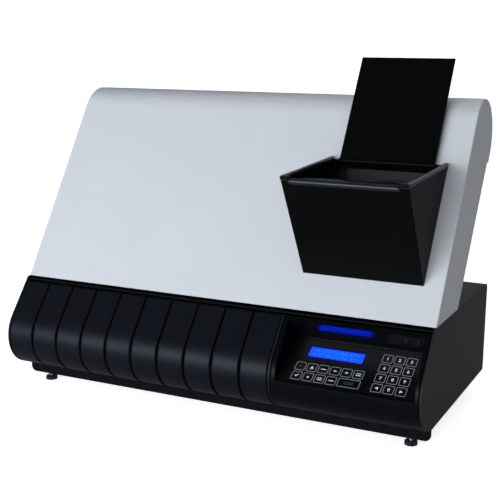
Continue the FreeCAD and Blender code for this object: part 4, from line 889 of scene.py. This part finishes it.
studio = {"floor": 4.6, "bend": 1.4, "wallTop": 6.0, "steps": 12, "sides": 64, "light": "#f6f6f7",
          "dark": "#f2f2f3", "cloudMm": 400, "rough": 0.65, "glow": 0.88, "worldTone": "#ffffff",
          "worldStrength": 0.16}
softboxes = [
    {"name": "frontSoftbox", "place": (-0.7, -3.2, 0.45), "aim": (0, 0, 0.25), "size": (3.4, 1.3),
     "watts": 158, "tone": "#f4f8ff"},
    {"name": "backFill", "place": (0.4, 2.0, 2.2), "aim": (0, 0, 0.3), "size": (2.0, 1.4),
     "watts": 12, "tone": "#ffffff"},
]


def sweepFinish(name):
    # painted board that the camera sees evenly lit, so that it stays pale right up to the part
    made, tree = newMaterial(name)
    place = addNode(tree, "ShaderNodeTexCoord").outputs["Object"]
    cloud = addNode(tree, "ShaderNodeTexNoise", {
        "Vector": place, "Scale": perMetre(studio["cloudMm"]), "Detail": noise["cloudDetail"]})
    tone = addNode(tree, "ShaderNodeMix", {
        "Factor": cloud.outputs["Fac"],
        mixA: linearColour(studio["dark"]), mixB: linearColour(studio["light"])}, data_type="RGBA")
    seen = addNode(tree, "ShaderNodeLightPath").outputs["Is Camera Ray"]
    glow = addNode(tree, "ShaderNodeMath", {0: seen, 1: studio["glow"]}, operation="MULTIPLY")
    shader = addNode(tree, "ShaderNodeBsdfPrincipled", {
        "Base Color": tone.outputs[mixed], "Roughness": studio["rough"],
        "Emission Color": tone.outputs[mixed], "Emission Strength": glow.outputs[0]})
    closeMaterial(tree, shader)
    return made


def makeStudio():
    world = bpy.data.worlds.new("softStudio")
    bpy.context.scene.world = world
    world.use_nodes = True
    world.node_tree.nodes.clear()
    glow = addNode(world.node_tree, "ShaderNodeBackground", {
        "Color": linearColour(studio["worldTone"]), "Strength": studio["worldStrength"]})
    addNode(world.node_tree, "ShaderNodeOutputWorld", {"Surface": glow.outputs[0]})
    angles = [math.pi / 2 * i / studio["steps"] for i in range(studio["steps"] + 1)]
    bend = [(studio["floor"] + studio["bend"] * math.sin(a), studio["bend"] * (1 - math.cos(a)))
            for a in angles]
    profile = bend + [(bend[-1][0], studio["wallTop"])]
    work = bmesh.new()
    turns = [math.tau * i / studio["sides"] for i in range(studio["sides"])]
    rings = [[work.verts.new((reach * math.cos(a), reach * math.sin(a), z)) for a in turns]
             for reach, z in profile]
    work.faces.new(rings[0])
    for low, high in zip(rings, rings[1:]):
        for i in range(studio["sides"]):
            work.faces.new((low[i - 1], low[i], high[i], high[i - 1]))
    sweep = linkPiece("paleSweep", meshFrom("paleSweep", work), sweepFinish("paintedBoardPale"))
    smoothFaces(sweep.data)
    for setup in softboxes:
        data = bpy.data.lights.new(setup["name"], "AREA")
        data.shape = "RECTANGLE"
        data.size, data.size_y = setup["size"]
        data.energy = setup["watts"]
        data.color = linearColour(setup["tone"])[:3]
        lamp = bpy.data.objects.new(setup["name"], data)
        towards = Vector(setup["aim"]) - Vector(setup["place"])
        turn = towards.to_track_quat("-Z", "Y").to_matrix().to_4x4()
        lamp.matrix_world = Matrix.Translation(setup["place"]) @ turn
        bpy.context.scene.collection.objects.link(lamp)
    bpy.context.scene.view_settings.view_transform = "Standard"


makeStudio()
print("studio set")
